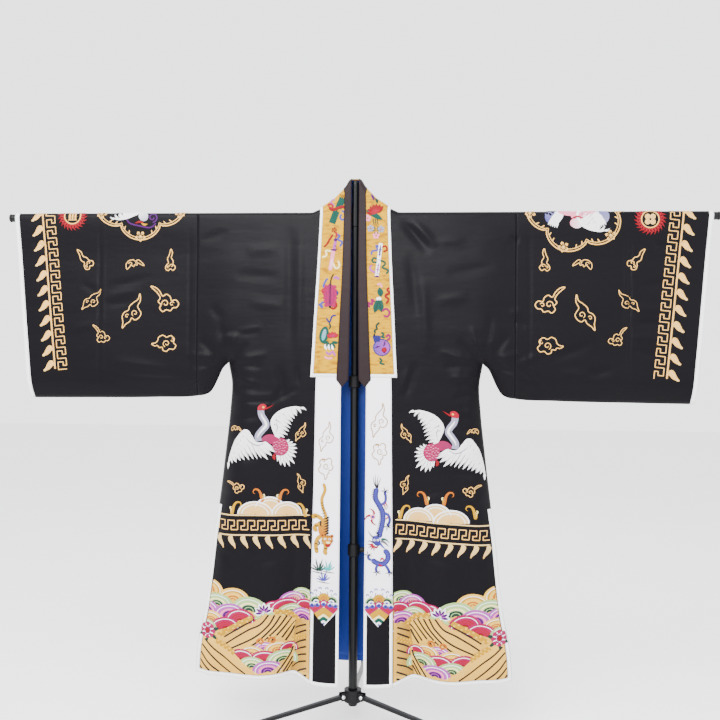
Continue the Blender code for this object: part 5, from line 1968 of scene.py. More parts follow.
@dataclass(frozen=True)
class HemWork:
    """Waves, rocks and foam over the hem of one front, in laid floss."""

    side: Side
    hoop: Hoop
    layer: Layer = FRONT
    steps: int = 34

    def near(self, run: Array) -> Array:
        """Find where the field starts: beside the band, or at the centre back seam.

        Args:
            run: The way up the cloth.

        Returns:
            Distances from the centre.
        """
        if self.layer is BACK:
            return np.full(np.shape(run), EDGE_GAP)
        return band_x(FRONT, 2.0, run) + EDGE_GAP

    def far(self, run: Array) -> Array:
        """Where the field ends, beside the tape of the slit."""
        return DRAPE.row("side", run) - BINDING - EDGE_GAP / 2

    def place(self, points: Points) -> Array:
        """Places on this side of points given by their distance from the centre."""
        return np.asarray(points, float) * np.array([self.side.value, 1.0])

    def foot(self, x: Array) -> Array:
        """Way up the cloth where the hem's tape ends."""
        return DRAPE.run(self.layer, x, np.full(np.shape(x), HEM[self.layer])) + BINDING + 1 * MM

    def inside(self, places: Array) -> Array:
        """Which places lie inside the field's border and the tapes."""
        x, run = places[:, 0] * self.side.value, places[:, 1]
        return (x > self.near(run)) & (x < self.far(run)) & (run > self.foot(x))

    def clipped(self, path: Array, width: float, thread: Thread, level: float, covers: Sequence[Fan] = (),
                crown: float = CROWN) -> None:
        """A stroke cut off at the border of the field, and where round waves cover it.

        Args:
            path: Its places.
            width: Its width.
            thread: Its thread.
            level: How many layers of stitches lie under it.
            covers: The waves that lie over it.
            crown: How far its middle stands up.
        """
        held = self.inside(path)
        for fan in covers:
            aside, over = path[:, 0] * self.side.value - fan.x, path[:, 1] - fan.run
            held &= np.hypot(aside / FAN_WIDE, over / FAN_HIGH) > fan.radius - 2 * MM
        held = held.astype(int)
        starts = np.flatnonzero(np.diff(np.concatenate([[0], held])) == 1)
        ends = np.flatnonzero(np.diff(np.concatenate([held, [0]])) == -1)
        for start, end in zip(starts, ends):
            if end - start >= 2:
                self.hoop.stroke(path[start:end + 1], width, thread, BUTT, level, None, crown)

    def fans(self, fans: Sequence[Fan], level: float) -> None:
        """Round waves, each over the ones before it.

        Args:
            fans: The waves.
            level: How many layers of stitches lie under the first.
        """
        for number, fan in enumerate(fans):
            rise = level + number * 0.2
            ring = fan.radius * 0.19
            covers = fans[number + 1:]
            for step, thread in enumerate(fan.threads):
                radius = fan.radius - ring * (step + 0.5)
                self.clipped(self.curve(fan, radius), ring * 1.1, thread, rise, covers, 0.15 * MM)
                edge = fan.threads[0] if step > 1 else WHITE if step else thread
                self.clipped(self.curve(fan, radius + ring * 0.5), WAVE_LINE, edge, rise + 1.2, covers)

    def curve(self, fan: Fan, radius: float) -> Array:
        """One ring of a round wave, somewhat wider than high."""
        ring = arc(0, 0, radius, -20, 200, steps=self.steps) * np.array([FAN_WIDE, FAN_HIGH])
        return self.place(ring + np.array([fan.x, fan.run]))

    def filled(self, first: Array, second: Array, thread: Thread, level: float, shade: Thread) -> None:
        """Laid floss between two curves.

        Args:
            first: One curve.
            second: The other, with as many points.
            thread: The floss.
            level: How many layers of stitches lie under it.
            shade: The floss at the second curve.
        """
        share = np.linspace(0, 1, max(4, round(np.abs(second - first).max() / (5 * MM))))[:, None, None]
        grid = first[None] * (1 - share) + second[None] * share
        x, run = np.abs(grid[..., 0]), grid[..., 1]
        low = self.foot(x)
        x = np.clip(x, self.near(run), self.far(run)) * self.side.value
        grid = np.stack([x, np.maximum(run, low)], axis=-1)
        self.hoop.grid(grid, np.full(grid.shape[:2], 0.2 * MM), thread, None, shade, level)

    def lines(self, rows: Sequence[Points], level: float) -> None:
        """Dark lines across a rock."""
        for row in rows:
            self.clipped(self.place(smooth(row, 2 * MM)), ROCK_LINE, INK, level, (), 0.3 * MM)

    def even(self, points: Points, count: int = 44) -> Array:
        """Walk along a soft curve in even steps.

        Args:
            points: The curve's points.
            count: How many places.

        Returns:
            The places.
        """
        path = smooth(points, 2 * MM)
        at = np.linspace(0, len(path) - 1, count)
        return self.place(np.stack([np.interp(at, np.arange(len(path)), path[:, i]) for i in (0, 1)], axis=1))

    def build(self) -> None:
        """Work the field from the ground up."""
        x = np.linspace(*GROUND_X, 60)
        top = np.stack([x, np.interp(x, WAVE_TOP_X, WAVE_TOP_Z) - GROUND_SUNK], axis=1)
        self.filled(self.place(top), self.place(np.stack([x, self.foot(x)], axis=1)), BEIGE, 0, STRAW)
        self.fans(HIGH_FANS, 0.6)
        slope, foot = self.even(SLOPE_TOP), self.even(SLOPE_FOOT)
        self.filled(slope, foot, BEIGE, 7.0, STRAW)
        self.lines(HILL_LINES, 8.4)
        cliff = self.even(CLIFF_LEFT)
        band = np.stack([np.full(len(cliff), CLIFF_X * self.side.value), cliff[:, 1] + CLIFF_RISE], axis=1)
        # The cliff's darker sand floss is the rock's colour plus painted shade: it is darkest at the fold's valley,
        # where the cloth turns from the light, and paler towards the band.
        self.filled(cliff, band, SAND, 7.4, BEIGE)
        self.lines(CLIFF_LINES, 8.8)
        self.fans(LOW_FANS, 9.0)
        reef, right = self.even(REEF_LEFT), self.even(REEF_RIGHT)
        self.filled(reef, right, STRAW, 12.0, BEIGE)
        self.lines(REEF_LINES, 13.4)
        shore = self.even(SHORE_TOP)
        low = np.stack([shore[:, 0], self.foot(np.abs(shore[:, 0]))], axis=1)
        self.filled(shore, low, STRAW, 12.2, BEIGE)
        self.lines(SHORE_LINES, 13.4)
        for number, line in enumerate(FOAMS):
            self.foam(self.even(line, FOAM_STEPS), 12.8 + 0.2 * number)
        for x, run in CURLS:
            spot = on_side(self.hoop, self.side, x, run, level=12)
            spot.line(coil(0, 0, 10, 200, -1.1), 5.5, ORANGE)
            spot.rays(0, 0, 9, 17, 10, 170, 5, 4.0, STRAW, DROP)
        self.blooms()

    def foam(self, path: Array, level: float) -> None:
        """A strip of yellow foam in knotted stitches.

        Args:
            path: Its places.
            level: How many layers of stitches lie under it.
        """
        self.hoop.stroke(path, FOAM_WIDTH, YELLOW, EVEN, level)
        spot = Spot(self.hoop, 0, 0, level=level + 1.2)
        across = np.gradient(path, axis=0)
        across = np.stack([-across[:, 1], across[:, 0]], axis=1)
        across /= np.linalg.norm(across, axis=1, keepdims=True)
        for number in range(1, FOAM_STEPS - 1, 4):
            for row in (-1, 1):
                x, y = (path[number + (row > 0)] + across[number] * row * KNOT_ASIDE) / MM
                spot.blob(x, y, KNOT, KNOT, YELLOW if (number + row) % 3 else STRAW)

    def blooms(self) -> None:
        """The peony at the side and the lotus where the waves dip."""
        spot = on_side(self.hoop, self.side, 0.398, 0.256, level=12)
        spot.rays(2, -2, 10, 32, 200, 380, 4, 10, GREEN, LEAF)
        spot.rays(0, 0, 3, 23, 0, 315, 8, 18, PINK, DROP, 1)
        spot.rays(0, 0, 6, 19, 22, 337, 8, 4.5, WHITE, LEAF, 2.2)
        spot.rays(0, 0, 2, 15, 0, 300, 6, 12, MAGENTA, DROP, 3.4)
        spot.line(coil(0, 0, 11, 40, 1.0, 0.8), 2.4, WHITE, level=4.6)
        spot.blob(-1, 0, 12, 15, RED, 5.2)
        spot = on_side(self.hoop, self.side, 0.240, 0.318, turn=16, level=12)
        spot.rays(0, -8, 8, 30, -10, 190, 7, 8, MINT, LEAF)
        spot.rays(0, -4, 3, 28, 10, 170, 6, 13, WHITE, LEAF, 1)
        spot.rays(0, -4, 4, 24, 10, 170, 6, 9, VIOLET, LEAF, 2.2)
        spot.rays(0, -4, 4, 16, 26, 154, 4, 4, LILAC, LEAF, 3.4)


LINE_X = (0.116, 0.374)
FRET_X = (0.118, 0.372)
BORDER_LINE = 3.6 * MM
DROPS_UNDER = 2.5 * MM
DROPS_INSET = 6 * MM
MOUNDS = ((0.226, 14, 42, 36, 0), (0.267, 2, 49, 35, 2), (0.180, 2, 41, 34, 4))
HORNS = ((0.257, 0.640, 1, ORANGE, YELLOW), (0.192, 0.640, -1, ORANGE, YELLOW),
         (0.323, 0.604, -1, YELLOW, STRAW), (0.139, 0.602, 1, YELLOW, STRAW))


@dataclass(frozen=True)
class BodyWork:
    """Embroidery of one front: crane, small clouds, mounds, fret border and the hem's waves."""

    side: Side
    crane_x: float
    crane_run: float
    crane_turn: float
    upper: tuple[float, float]
    lower: tuple[float, float]

    def line(self, x: float, ends: tuple[float, float]) -> float:
        """Height of a border line at a distance from the centre."""
        return float(np.interp(x, BORDER_X, ends))

    def build(self) -> None:
        """Work the front."""
        word = self.side.name.lower()
        hoop = Hoop(f"body_embroidery_{word}", FRONT)
        Crane(on_side(hoop, self.side, self.crane_x, self.crane_run, turn=self.crane_turn)).draw()
        for x, run, kind, size, turn in BODY_CLOUDS:
            kind.draw(on_side(hoop, self.side, x, run, size, turn), GILT, 3.0)
        self.mounds(hoop)
        for ends in (self.upper, self.lower):
            x = np.linspace(*LINE_X, 45)
            path = np.stack([x * self.side.value, np.interp(x, BORDER_X, ends)], axis=1)
            hoop.stroke(path, BORDER_LINE, PALE_GILT)
        report(hoop.make())
        sea = Hoop(f"hem_embroidery_{word}", FRONT)
        HemWork(self.side, sea).build()
        report(sea.make())
        self.repeats()

    def repeats(self) -> None:
        """Couch the fret between the border lines and work the drops under the lower one."""
        word = self.side.name.lower()
        x = np.sort(np.linspace(*FRET_X, 60) * self.side.value)
        upper, lower = (np.interp(np.abs(x), BORDER_X, ends) for ends in (self.upper, self.lower))
        path = np.stack([x, (upper + lower) / 2 - BODY_FRET_WIDTH / 2], axis=1)
        couch_fret(f"body_fret_{word}", FRONT, path, BODY_FRET_PITCH, BODY_FRET_WIDTH)
        path = np.stack([x, lower - DROPS_UNDER], axis=1)[::-1]
        drops = Repeat(f"body_drops_{word}", body_drop_unit(self.side is RIGHT), BODY_DROP_PITCH)
        report(drops.along(FRONT, path, inset=DROPS_INSET))

    def mounds(self, hoop: Hoop) -> None:
        """Three pale mounds on the upper line, with curling horns of spray.

        Args:
            hoop: The hoop that they are worked on.
        """
        for x, lift, wide, high, level in MOUNDS:
            spot = on_side(hoop, self.side, x, self.line(x, self.upper) + lift * MM, level=level)
            reach = np.linspace(0.05, 1, 9)[:, None]
            turn = np.linspace(0, math.pi, 19)[None, :]
            grid = spot.at(np.stack([wide * reach * np.cos(turn), high * reach * np.sin(turn)], axis=-1))
            hoop.grid(grid, 0.5 * MM * (1 - reach**2) + 0 * turn, GILT, None, PALE_GILT, level)
            for share, width in ((0.98, 4.2), (0.76, 3.0)):
                spot.line(arc(0, 0, share, 0, 180, steps=14) * (wide, high), width, WHITE, level=1)
        for x, run, bend, thread, inner in HORNS:
            spot = Spot(hoop, x * self.side.value, run, 0.9, 0, -self.side.value * bend, 1)
            curl = ((12, -30), (8, -16), (4, -2), (-4, 8), (-15, 8), (-18, -1), (-12, -5))
            spot.line(curl, 11, thread, TAPER)
            spot.line(((13, -26), (13, -14), (9, -8)), 5, inner, LEAF, 1)
            spot.line(((14, -16), (17, -9), (12, -5)), 4.5, CREAM, DROP, 1)


class Pattern(Hoop):
    """Stitches drawn flat, as the unit of a repeat."""

    def __init__(self, name: str) -> None:
        """Start with no stitches."""
        super().__init__(name, FRONT)
        self.base = 0.0

    def laid(self, places: Array, rise: Array) -> Array:
        """Flat points, with the rise as their height."""
        return np.column_stack([places, rise])


FRET_CORNER = 1.2 * MM
FRET_STEP = 7.0 * MM
CUFF_FRET_PITCH = 31.0 * MM
CUFF_FRET_WIDTH = 24.0 * MM
CUFF_DROP_PITCH = 41.5 * MM
FRET_ASIDE = -34.0 * MM
DROP_ASIDE = 1.5 * MM
BODY_FRET_PITCH = 28.2 * MM
BODY_FRET_WIDTH = 25.0 * MM
BODY_DROP_PITCH = 34.0 * MM
STITCH_PITCH = 4.2 * MM
STITCH_SUNK = 0.35 * MM
SEED = 7


def fret_unit(pitch: float, width: float) -> Pattern:
    """One turn of a couched key fret, with its length along X and its width along Y.

    Args:
        pitch: Its length.
        width: Its width.

    Returns:
        The unit.
    """
    pattern = Pattern("fret_unit")
    key = ((0, 0), (0, 1), (0.68, 1), (0.68, 0.40), (0.34, 0.40), (0.34, 0), (1, 0))
    corners = [((a - 0.5) * pitch, b * width) for a, b in key]
    path = [corners[0]]
    for start, end in zip(corners, corners[1:]):
        length = math.dist(start, end)
        corner = FRET_CORNER / length
        between = np.linspace(0, 1, max(2, round(length / FRET_STEP)) + 1)[1:-1]
        for share in (corner, *between, 1 - corner, 1):
            path.append(tuple(s + (e - s) * share for s, e in zip(start, end)))
    pattern.stroke(np.array(path), 2.7 * MM, GILT, BUTT, crown=0.9 * MM)
    return pattern


def cuff_drop_unit(mirrored: bool) -> Pattern:
    """A drop that stands off the cuff's border line, plump beside its stalk, with its tip down.

    Args:
        mirrored: Whether it is turned over, left to right.

    Returns:
        The unit.
    """
    pattern = Pattern("cuff_drop_unit")
    spot = Spot(pattern, 0, 0, 1.0, 0, -1 if mirrored else 1)
    spot.line(((2, -1), (1, 4), (1, 9)), 8, GILT, BUTT)
    spot.line(((10, 3), (5, 9), (-2, 14), (-9, 21), (-14, 31)), 16, GILT, DROP_NEAR, 0.6)
    spot.line(((6, 8), (0, 13), (-8, 22)), 3.0, PALE_GILT, LEAF, 3)
    spot.line(((-10, 22), (-14, 27), (-15, 32)), 6, PALE_GILT, LEAF, 3)
    return pattern


def body_drop_unit(mirrored: bool) -> Pattern:
    """A drop that hangs from the body's lower border line, with its point to the opening.

    Args:
        mirrored: Whether it is turned over, left to right.

    Returns:
        The unit.
    """
    pattern = Pattern("body_drop_unit")
    spot = Spot(pattern, 0, 0, 1.0, 0, -1 if mirrored else 1)
    spot.line(((3, -1), (2, 6), (1, 12)), 9, PALE_GILT, BUTT)
    spot.line(((9, 2), (4, 10), (-1, 18), (-6, 25), (-9, 33)), 12.5, PALE_GILT, DROP_NEAR, 0.6)
    spot.line(((4, 8), (0, 15), (-6, 24)), 2.8, GILT, LEAF, 3)
    spot.line(((-5, 24), (-8, 29), (-10, 34)), 5, GILT, LEAF, 3)
    return pattern


def stitch_unit(thread: Thread) -> Pattern:
    """One running stitch.

    Args:
        thread: Its thread.

    Returns:
        The unit.
    """
    pattern = Pattern("stitch_unit")
    path = np.stack([np.linspace(-1.3, 1.3, 4) * MM, np.zeros(4)], axis=1)
    pattern.stroke(path, 0.75 * MM, thread, EVEN, crown=1.6 * MM)
    return pattern


class RepeatTree:
    """Geometry Nodes that set a unit at even places along a path and turn it with the path."""

    INPUTS = {
        "Unit": "NodeSocketObject", "Count": "NodeSocketInt", "Stretch": "NodeSocketVector",
        "Unevenness": "NodeSocketFloat", "Seed": "NodeSocketInt", "Finish": "NodeSocketMaterial",
    }

    def __init__(self) -> None:
        """Build the tree."""
        self.tree = bpy.data.node_groups.new("repeat_along_path", "GeometryNodeTree")
        socket = self.tree.interface.new_socket
        socket("Path", in_out="INPUT", socket_type="NodeSocketGeometry")
        made = {name: socket(name, in_out="INPUT", socket_type=kind) for name, kind in self.INPUTS.items()}
        self.keys = {name: item.identifier for name, item in made.items()}
        socket("Pieces", in_out="OUTPUT", socket_type="NodeSocketGeometry")
        given = self.node("NodeGroupInput", {}, {}).outputs
        curve = self.node("GeometryNodeMeshToCurve", {}, {"Mesh": given["Path"]})
        wired = {"Curve": curve.outputs[0], "Count": given["Count"]}
        even = self.node("GeometryNodeResampleCurve", {"mode": "COUNT"}, wired)
        ahead = self.node("GeometryNodeInputTangent", {}, {})
        axes = {"axis": "X", "pivot_axis": "Z"}
        turn = self.node("FunctionNodeAlignRotationToVector", axes, {"Vector": ahead.outputs[0]})
        chance = self.node("FunctionNodeRandomValue", {"data_type": "FLOAT_VECTOR"}, {"Seed": given["Seed"]})
        chance.inputs[0].default_value = (-1, -1, 0)
        chance.inputs[1].default_value = (1, 1, 0)
        wired = {0: chance.outputs[0], "Scale": given["Unevenness"]}
        vary = self.node("ShaderNodeVectorMath", {"operation": "SCALE"}, wired)
        wired = {0: given["Stretch"], 1: vary.outputs[0]}
        size = self.node("ShaderNodeVectorMath", {"operation": "ADD"}, wired)
        unit = self.node("GeometryNodeObjectInfo", {}, {"Object": given["Unit"]})
        wired = {"Points": even.outputs[0], "Instance": unit.outputs["Geometry"], "Rotation": turn.outputs[0],
                 "Scale": size.outputs[0]}
        placed = self.node("GeometryNodeInstanceOnPoints", {}, wired)
        real = self.node("GeometryNodeRealizeInstances", {}, {"Geometry": placed.outputs[0]})
        wired = {"Geometry": real.outputs[0], "Material": given["Finish"]}
        dyed = self.node("GeometryNodeSetMaterial", {}, wired)
        self.node("NodeGroupOutput", {}, {"Pieces": dyed.outputs[0]})

    def node(self, kind: str, settings: dict, links: dict) -> bpy.types.Node:
        """Add a node, set it and link its inputs.

        Args:
            kind: The node's type.
            settings: Its properties.
            links: The socket that feeds each input.

        Returns:
            The node.
        """
        made = self.tree.nodes.new(kind)
        for key, setting in settings.items():
            setattr(made, key, setting)
        for key, source in links.items():
            self.tree.links.new(source, made.inputs[key])
        return made

    def run(self, path: bpy.types.Object, values: dict[str, object]) -> bpy.types.Mesh:
        """Apply the tree to a path.

        Args:
            path: A mesh of edges.
            values: A value for each named input.

        Returns:
            The mesh of all the units.
        """
        modifier = path.modifiers.new("Repeat", "NODES")
        modifier.node_group = self.tree
        for name, value in values.items():
            modifier[self.keys[name]] = value
        graph = bpy.context.evaluated_depsgraph_get()
        shown = path.evaluated_get(graph)
        made = bpy.data.meshes.new_from_object(shown, preserve_all_data_layers=True, depsgraph=graph)
        path.modifiers.remove(modifier)
        return made


REPEATS: list[RepeatTree] = []


@dataclass(frozen=True)
class Repeat:
    """A pattern's unit repeated along a path on the cloth."""

    name: str
    unit: Pattern
    pitch: float
    kind: Floss = GOLD

    def along(self, layer: Layer, places: Array, base: float = 0.0, stretch: bool = False, inset: float = 0.0,
              unevenness: float = 0.0) -> bpy.types.Object:
        """Repeat the unit along a path.

        Args:
            layer: The layer that run is counted on.
            places: The path's places on the cloth.
            base: How far the worked cloth lies over the panel.
            stretch: Whether the units are stretched to join up from end to end.
            inset: How far from each end the first and last one stand.
            unevenness: How far the units' sizes differ.

        Returns:
            The piece.
        """
        along = np.concatenate([[0], np.cumsum(np.linalg.norm(np.diff(places, axis=0), axis=1))])
        count = max(2, round((along[-1] - 2 * inset) / self.pitch) + (0 if stretch else 1))
        start = along[-1] / count / 2 if stretch else inset
        at = np.linspace(start, along[-1] - start, 6 * count)
        path = np.column_stack([*(np.interp(at, along, places[:, i]) for i in (0, 1)), 0 * at])
        mesh = bpy.data.meshes.new("path")
        mesh.from_pydata(path.tolist(), [(i, i + 1) for i in range(len(path) - 1)], [])
        line = bpy.data.objects.new("path", mesh)
        unit = self.unit.make()
        bpy.context.scene.collection.objects.link(line)
        if not REPEATS:
            REPEATS.append(RepeatTree())
        wide = along[-1] / count / self.pitch if stretch else 1.0
        made = REPEATS[0].run(line, {
            "Unit": unit, "Count": count, "Stretch": (wide, 1.0, 1.0), "Unevenness": unevenness, "Seed": SEED,
            "Finish": finish(self.kind),
        })
        flat = np.zeros(3 * len(made.vertices))
        made.vertices.foreach_get("co", flat)
        flat = flat.reshape(-1, 3)
        points, _ = DRAPE.lay(layer, flat[:, 0], flat[:, 1], flat[:, 2] + base + BASE)
        made.vertices.foreach_set("co", points.ravel())
        if layer is BACK:
            made.flip_normals()
        made.name = self.name
        item = bpy.data.objects.new(self.name, made)
        bpy.context.scene.collection.objects.link(item)
        bpy.data.objects.remove(unit)
        bpy.data.objects.remove(line)
        return item


def couch_fret(name: str, layer: Layer, path: Array, pitch: float, width: float) -> None:
    """Couch a fret whose turns join up along a path."""
    report(Repeat(name, fret_unit(pitch, width), pitch).along(layer, path, stretch=True))


@dataclass(frozen=True)
class Emblem(Spot):
    """A motif of the collar or a lapel, drawn where the spot is."""

    def ribbon(self, thread: Thread, *points: tuple[float, float]) -> None:
        """A fluttering ribbon."""
        self.line(points, 4.8, thread)

    def tube(self) -> None:
        """A bamboo tube with sticks, tied with a red ribbon."""
        self.ribbon(SKY, (12, -2), (20, -8), (24, -20), (14, -28), (8, -20), (12, -12))
        self.ribbon(LILAC, (-8, 10), (-16, 20), (-12, 30), (-6, 24))
        for x in (8, 13, 18):
            self.line(((x, 28), (x + 3, 36), (x + 1, 42)), 3.4, INK, TAPER)
        self.line(((-14, -37), (-8, -20), (-2, -4)), 18, TEAL, BUTT, 1)
        self.line(((3, 4), (9, 18), (15, 31)), 18, TEAL, BUTT, 1)
        self.line(((-12, -30), (-6, -14), (1, 2), (12, 26)), 3, GREEN, LEAF, 3)
        self.line(((-22, 8), (-14, 0), (0, 4), (12, 8), (22, 6)), 7.5, RED, EVEN, 4)
        self.line(coil(-17, 8, 8, 180, -1.0), 4.5, CORAL, level=4)

    def sword(self) -> None:
        """A sword with tassels."""
        self.ribbon(RED, (-2, 38), (-10, 26), (-18, 12), (-26, 6))
        self.ribbon(CREAM, (-6, -6), (-20, -4), (-18, -16), (-30, -22))
        self.ribbon(SKY, (6, 40), (16, 34), (10, 26), (22, 18), (16, 6))
        self.ribbon(CREAM, (-2, -34), (6, -50), (16, -44), (12, -30))
        self.line(((-8, -56), (-4, -30), (0, -2)), 10, BLUSH, TAPER, 2, WHITE)
        self.line(((-8, -54), (-4, -28), (0, -2)), 10, BLUSH, BUTT, 1)
        self.line(((-8, -1), (1, -3), (10, -1)), 5.5, VIOLET, LEAF, 3)
        self.line(((1, 0), (3, 10), (5, 20)), 7, LILAC, BUTT, 2)
        self.line(((0, 8), (4, 8), (8, 8)), 3, VIOLET, level=4)
        self.blob(5, 24, 9, 9, VIOLET, 3)
        self.line(((4, 28), (8, 38), (2, 48)), 5, CORAL, LEAF, 2)
        self.rays(1, 50, 1, 8, 0, 288, 5, 5, RED, DROP, 3)

    def long_fan(self) -> None:
        """A long magenta fan on a dark stem, with ribbons."""
        self.ribbon(SKY, (-6, 36), (-12, 28), (-16, 18), (-14, 12))
        self.ribbon(LILAC, (8, 34), (14, 40), (18, 34), (22, 38))
        self.ribbon(SKY, (-14, -22), (-22, -26), (-18, -36), (-28, -26))
        self.ribbon(BLUE, (12, -6), (18, -2), (16, 6))
        self.line(coil(-15, 4, 7, 0, 1.0), 4.5, CORAL)
        self.line(((2, -36), (10, -38), (16, -30), (13, -22)), 5, RED)
        for y in range(-30, 24, 9):
            for flip in (-1, 1):
                self.blob(flip * (12.5 - (y + 5)**2 * 0.006), y, 11, 9, PINK, 1)
        self.line(((0, -36), (0, -6), (0, 24)), 29, MAGENTA, LEAF, 2)
        for x in (-6, 0, 6):
            self.line(((x, -28 + abs(x)), (x, -4), (x, 18 - abs(x))), 2.6, PINK if x else INK, EVEN, 5)
        self.line(((0, 16), (2, 34), (8, 46)), 3.4, BROWN, EVEN, 5)
        self.blob(0, -34, 6, 6, INK, 5)

    def gourd(self) -> None:
        """A teal gourd with a curling stem, and a red lotus on its leaves."""
        self.line(((-6, 40), (2, 30), (8, 44), (18, 46)), 4, BLUE)
        self.line(((0, 30), (4, 20), (0, 12)), 4.5, GREEN, LEAF)
        self.ribbon(LILAC, (-6, -40), (2, -46), (10, -40), (16, -50))
        self.ribbon(BLUSH, (-10, -52), (0, -56), (10, -54))
        self.blob(-11, 0, 40, 22, TEAL, 1, 78)
        self.blob(-11, 0, 30, 14, PALE_TEAL, 2, 78, PALE_GREY)
        self.rays(10, -8, 2, 16, 40, 150, 5, 9, CORAL, LEAF, 3)
        self.rays(10, -8, 2, 11, 60, 130, 3, 6, PINK, LEAF, 4.5)
        self.rays(4, -16, 3, 20, 190, 350, 5, 7, TEAL, LEAF, 1)
        for x in (-8, 0, 8):
            self.line(((x, -22), (x + 1, -30), (x + 4, -36)), 6, WHITE, LEAF, 2)

    def lotus(self) -> None:
        """A red lotus over a leaf, and pale blossoms under it."""
        self.line(((-14, 44), (-8, 34), (-4, 26)), 5, VIOLET, LEAF)
        self.line(((-4, 32), (2, 26), (4, 18)), 6, GREEN, LEAF)
        self.line(((-24, 2), (-6, -8), (18, -22)), 13, TEAL, LEAF, 1)
        self.rays(2, -8, 3, 26, 50, 170, 7, 10, RED, LEAF, 2)
        self.rays(2, -8, 2, 17, 60, 160, 4, 7, CORAL, LEAF, 3.5)
        for x in (-6, -1, 4):
            self.line(((x, -18), (x + 1, -28), (x + 3, -36)), 2.2, GREEN, EVEN)
        for x, y, thread in ((-20, -18, BLUSH), (-12, -44, PALE_GREY), (14, -46, PALE_GREY), (2, -62, BLUSH)):
            self.rays(x, y, 1, 9.5, 18, 306, 5, 8, thread, DROP, 1)
            self.blob(x, y, 4, 4, ORANGE, 3)
        self.rays(2, -50, 2, 13, 0, 300, 6, 3, TEAL, LEAF, 2)

    def flute(self) -> None:
        """A flute with red and green ribbons."""
        self.ribbon(SKY, (4, 34), (-8, 40), (-4, 28), (-18, 24), (-20, 14))
        self.ribbon(RED, (6, 34), (18, 38), (22, 28), (12, 22))
        self.ribbon(TEAL, (-4, 2), (-14, 6), (-18, -4), (-6, -6), (8, -2), (18, -10), (10, -20),
                    (26, -28), (20, -38))
        self.ribbon(LILAC, (-6, -34), (-18, -30), (-24, -20), (-18, -14))
        self.line(((-5, -44), (0, -2), (5, 46)), 10.5, WHITE, BUTT, 2)
        self.line(((1, 6), (3, 24), (5, 44)), 6, BLUE, LEAF, 4)
        self.line(((-4, -40), (-2, -22), (0, -6)), 5, LILAC, LEAF, 4)
        for y in (-38, -26, -14, 0, 14, 28):
            self.line(((-5 + y * 0.1, y), (0.5 + y * 0.1, y), (6 + y * 0.1, y)), 2.0, VIOLET, level=5)
        self.line(((-12, -46), (-5, -44), (3, -47)), 4.5, VIOLET, LEAF, 5)

    def clappers(self) -> None:
        """A pair of clappers tied with a cord."""
        self.ribbon(RED, (26, 34), (20, 28), (26, 22), (16, 14), (24, 6), (18, -4))
        self.ribbon(MAGENTA, (8, -22), (18, -16), (26, -24), (22, -34), (12, -32))
        self.ribbon(MAGENTA, (-8, 0), (-16, 6), (-14, -6), (-24, -2), (-20, -14))
        self.ribbon(BLUSH, (-4, 40), (4, 42), (8, 34))
        self.line(((2, 34), (4, 24), (6, 12)), 14, TEAL, LEAF, 1)
        for path in (((2, 4), (-4, -10), (-9, -26)), ((2, 4), (5, -10), (8, -24))):
            self.line(path, 15, TEAL, FEATHER, 1)
            self.line(path, 4, GREEN, LEAF, 3)
        self.line(((-5, 6), (1, 8), (7, 6)), 7, WHITE, EVEN, 4)
        self.line(((1, 30), (4, 22), (5, 14)), 3, GREEN, LEAF, 3)

    def drum(self) -> None:
        """A round drum with a fishing cord, a bow and a flower."""
        self.ribbon(GREEN, (-2, 46), (-10, 38), (-8, 30), (-14, 26), (-12, 18))
        self.ribbon(INK, (-14, 18), (-16, 8), (-12, 2))
        self.ribbon(TEAL, (2, 22), (8, 16), (4, 10), (12, 8))
        self.ribbon(TEAL, (-2, -42), (4, -48), (0, -54), (12, -58))
        self.line(((14, 8), (20, 16), (24, 8), (16, 2)), 5, MAGENTA)
        self.blob(4, -16, 44, 42, SKY, 1, 0, LILAC)
        self.line(((-17, 4), (-8, 6), (0, 4)), 16, BLUE, BUTT, 2)
        for turn in (30, 150, 270):
            self.line(swirl(4, -16, (3, 8, 13, 18), turn, 2), 5, VIOLET, LEAF, 3)
        self.line(arc(4, -16, 20, 0, 360), 2.4, BLUE, BUTT, 3)
        self.blob(10, -22, 13, 13, RED, 5)
        self.blob(10, -22, 6, 6, CORAL, 6.5)

    def tiger(self) -> None:
        """A tiger that comes down with its tail up."""
        self.line(((-2, 97), (2, 78), (-6, 56), (-4, 34), (4, 14), (6, 0)), 8.5, YELLOW, EVEN)
        for y in range(8, 50, 7):
            self.line(((5 - y * 0.16, y + 4), (1 - y * 0.16, y), (-4 - y * 0.16, y + 1)), 3.6, INK, TAPER, 3)
        for way in (
            ((-4, 0), (-18, 8), (-27, 10), (-26, 0)), ((-6, -14), (-20, -16), (-25, -26), (-17, -32)),
            ((-6, -44), (-17, -54), (-21, -72), (-17, -92)), ((2, -60), (6, -74), (4, -88), (10, -94)),
        ):
            self.line(way, 11.0, YELLOW, EVEN, 1)
        self.line(((8, 8), (0, -12), (-2, -32), (0, -54)), 28, YELLOW, LEAF, 2, ORANGE)
        for y in range(-40, 6, 7):
            self.line(((14, y + 5), (8, y + 1), (-1, y - 2)), 6.4, INK, TAPER, 5)
        self.line(((-16, -10), (-8, -6), (-9, -16), (-3, -20)), 4.4, INK, LEAF, 5)
        self.line(((-17, -58), (-11, -64), (-16, -72)), 4.4, INK, LEAF, 4)
        for x, y in ((-22, 8), (-20, -18), (-20, -66), (-18, -80), (6, -78)):
            self.line(((x - 5, y + 2), (x, y - 1), (x + 5, y + 1)), 3.4, INK, LEAF, 4)
        self.blob(10, -56, 31, 28, YELLOW, 6, 0, ORANGE)
        for x, y in ((-3, -43), (22, -45)):
            self.blob(x, y, 10, 9, ORANGE, 7)
            self.blob(x, y, 4.5, 4.5, INK, 8.5)
        for x in (4, 16):
            self.blob(x, -53, 7, 6.5, WHITE, 8)
            self.blob(x, -53, 4, 4, INK, 9.5)
        self.blob(12, -62, 12, 7, CREAM, 8)
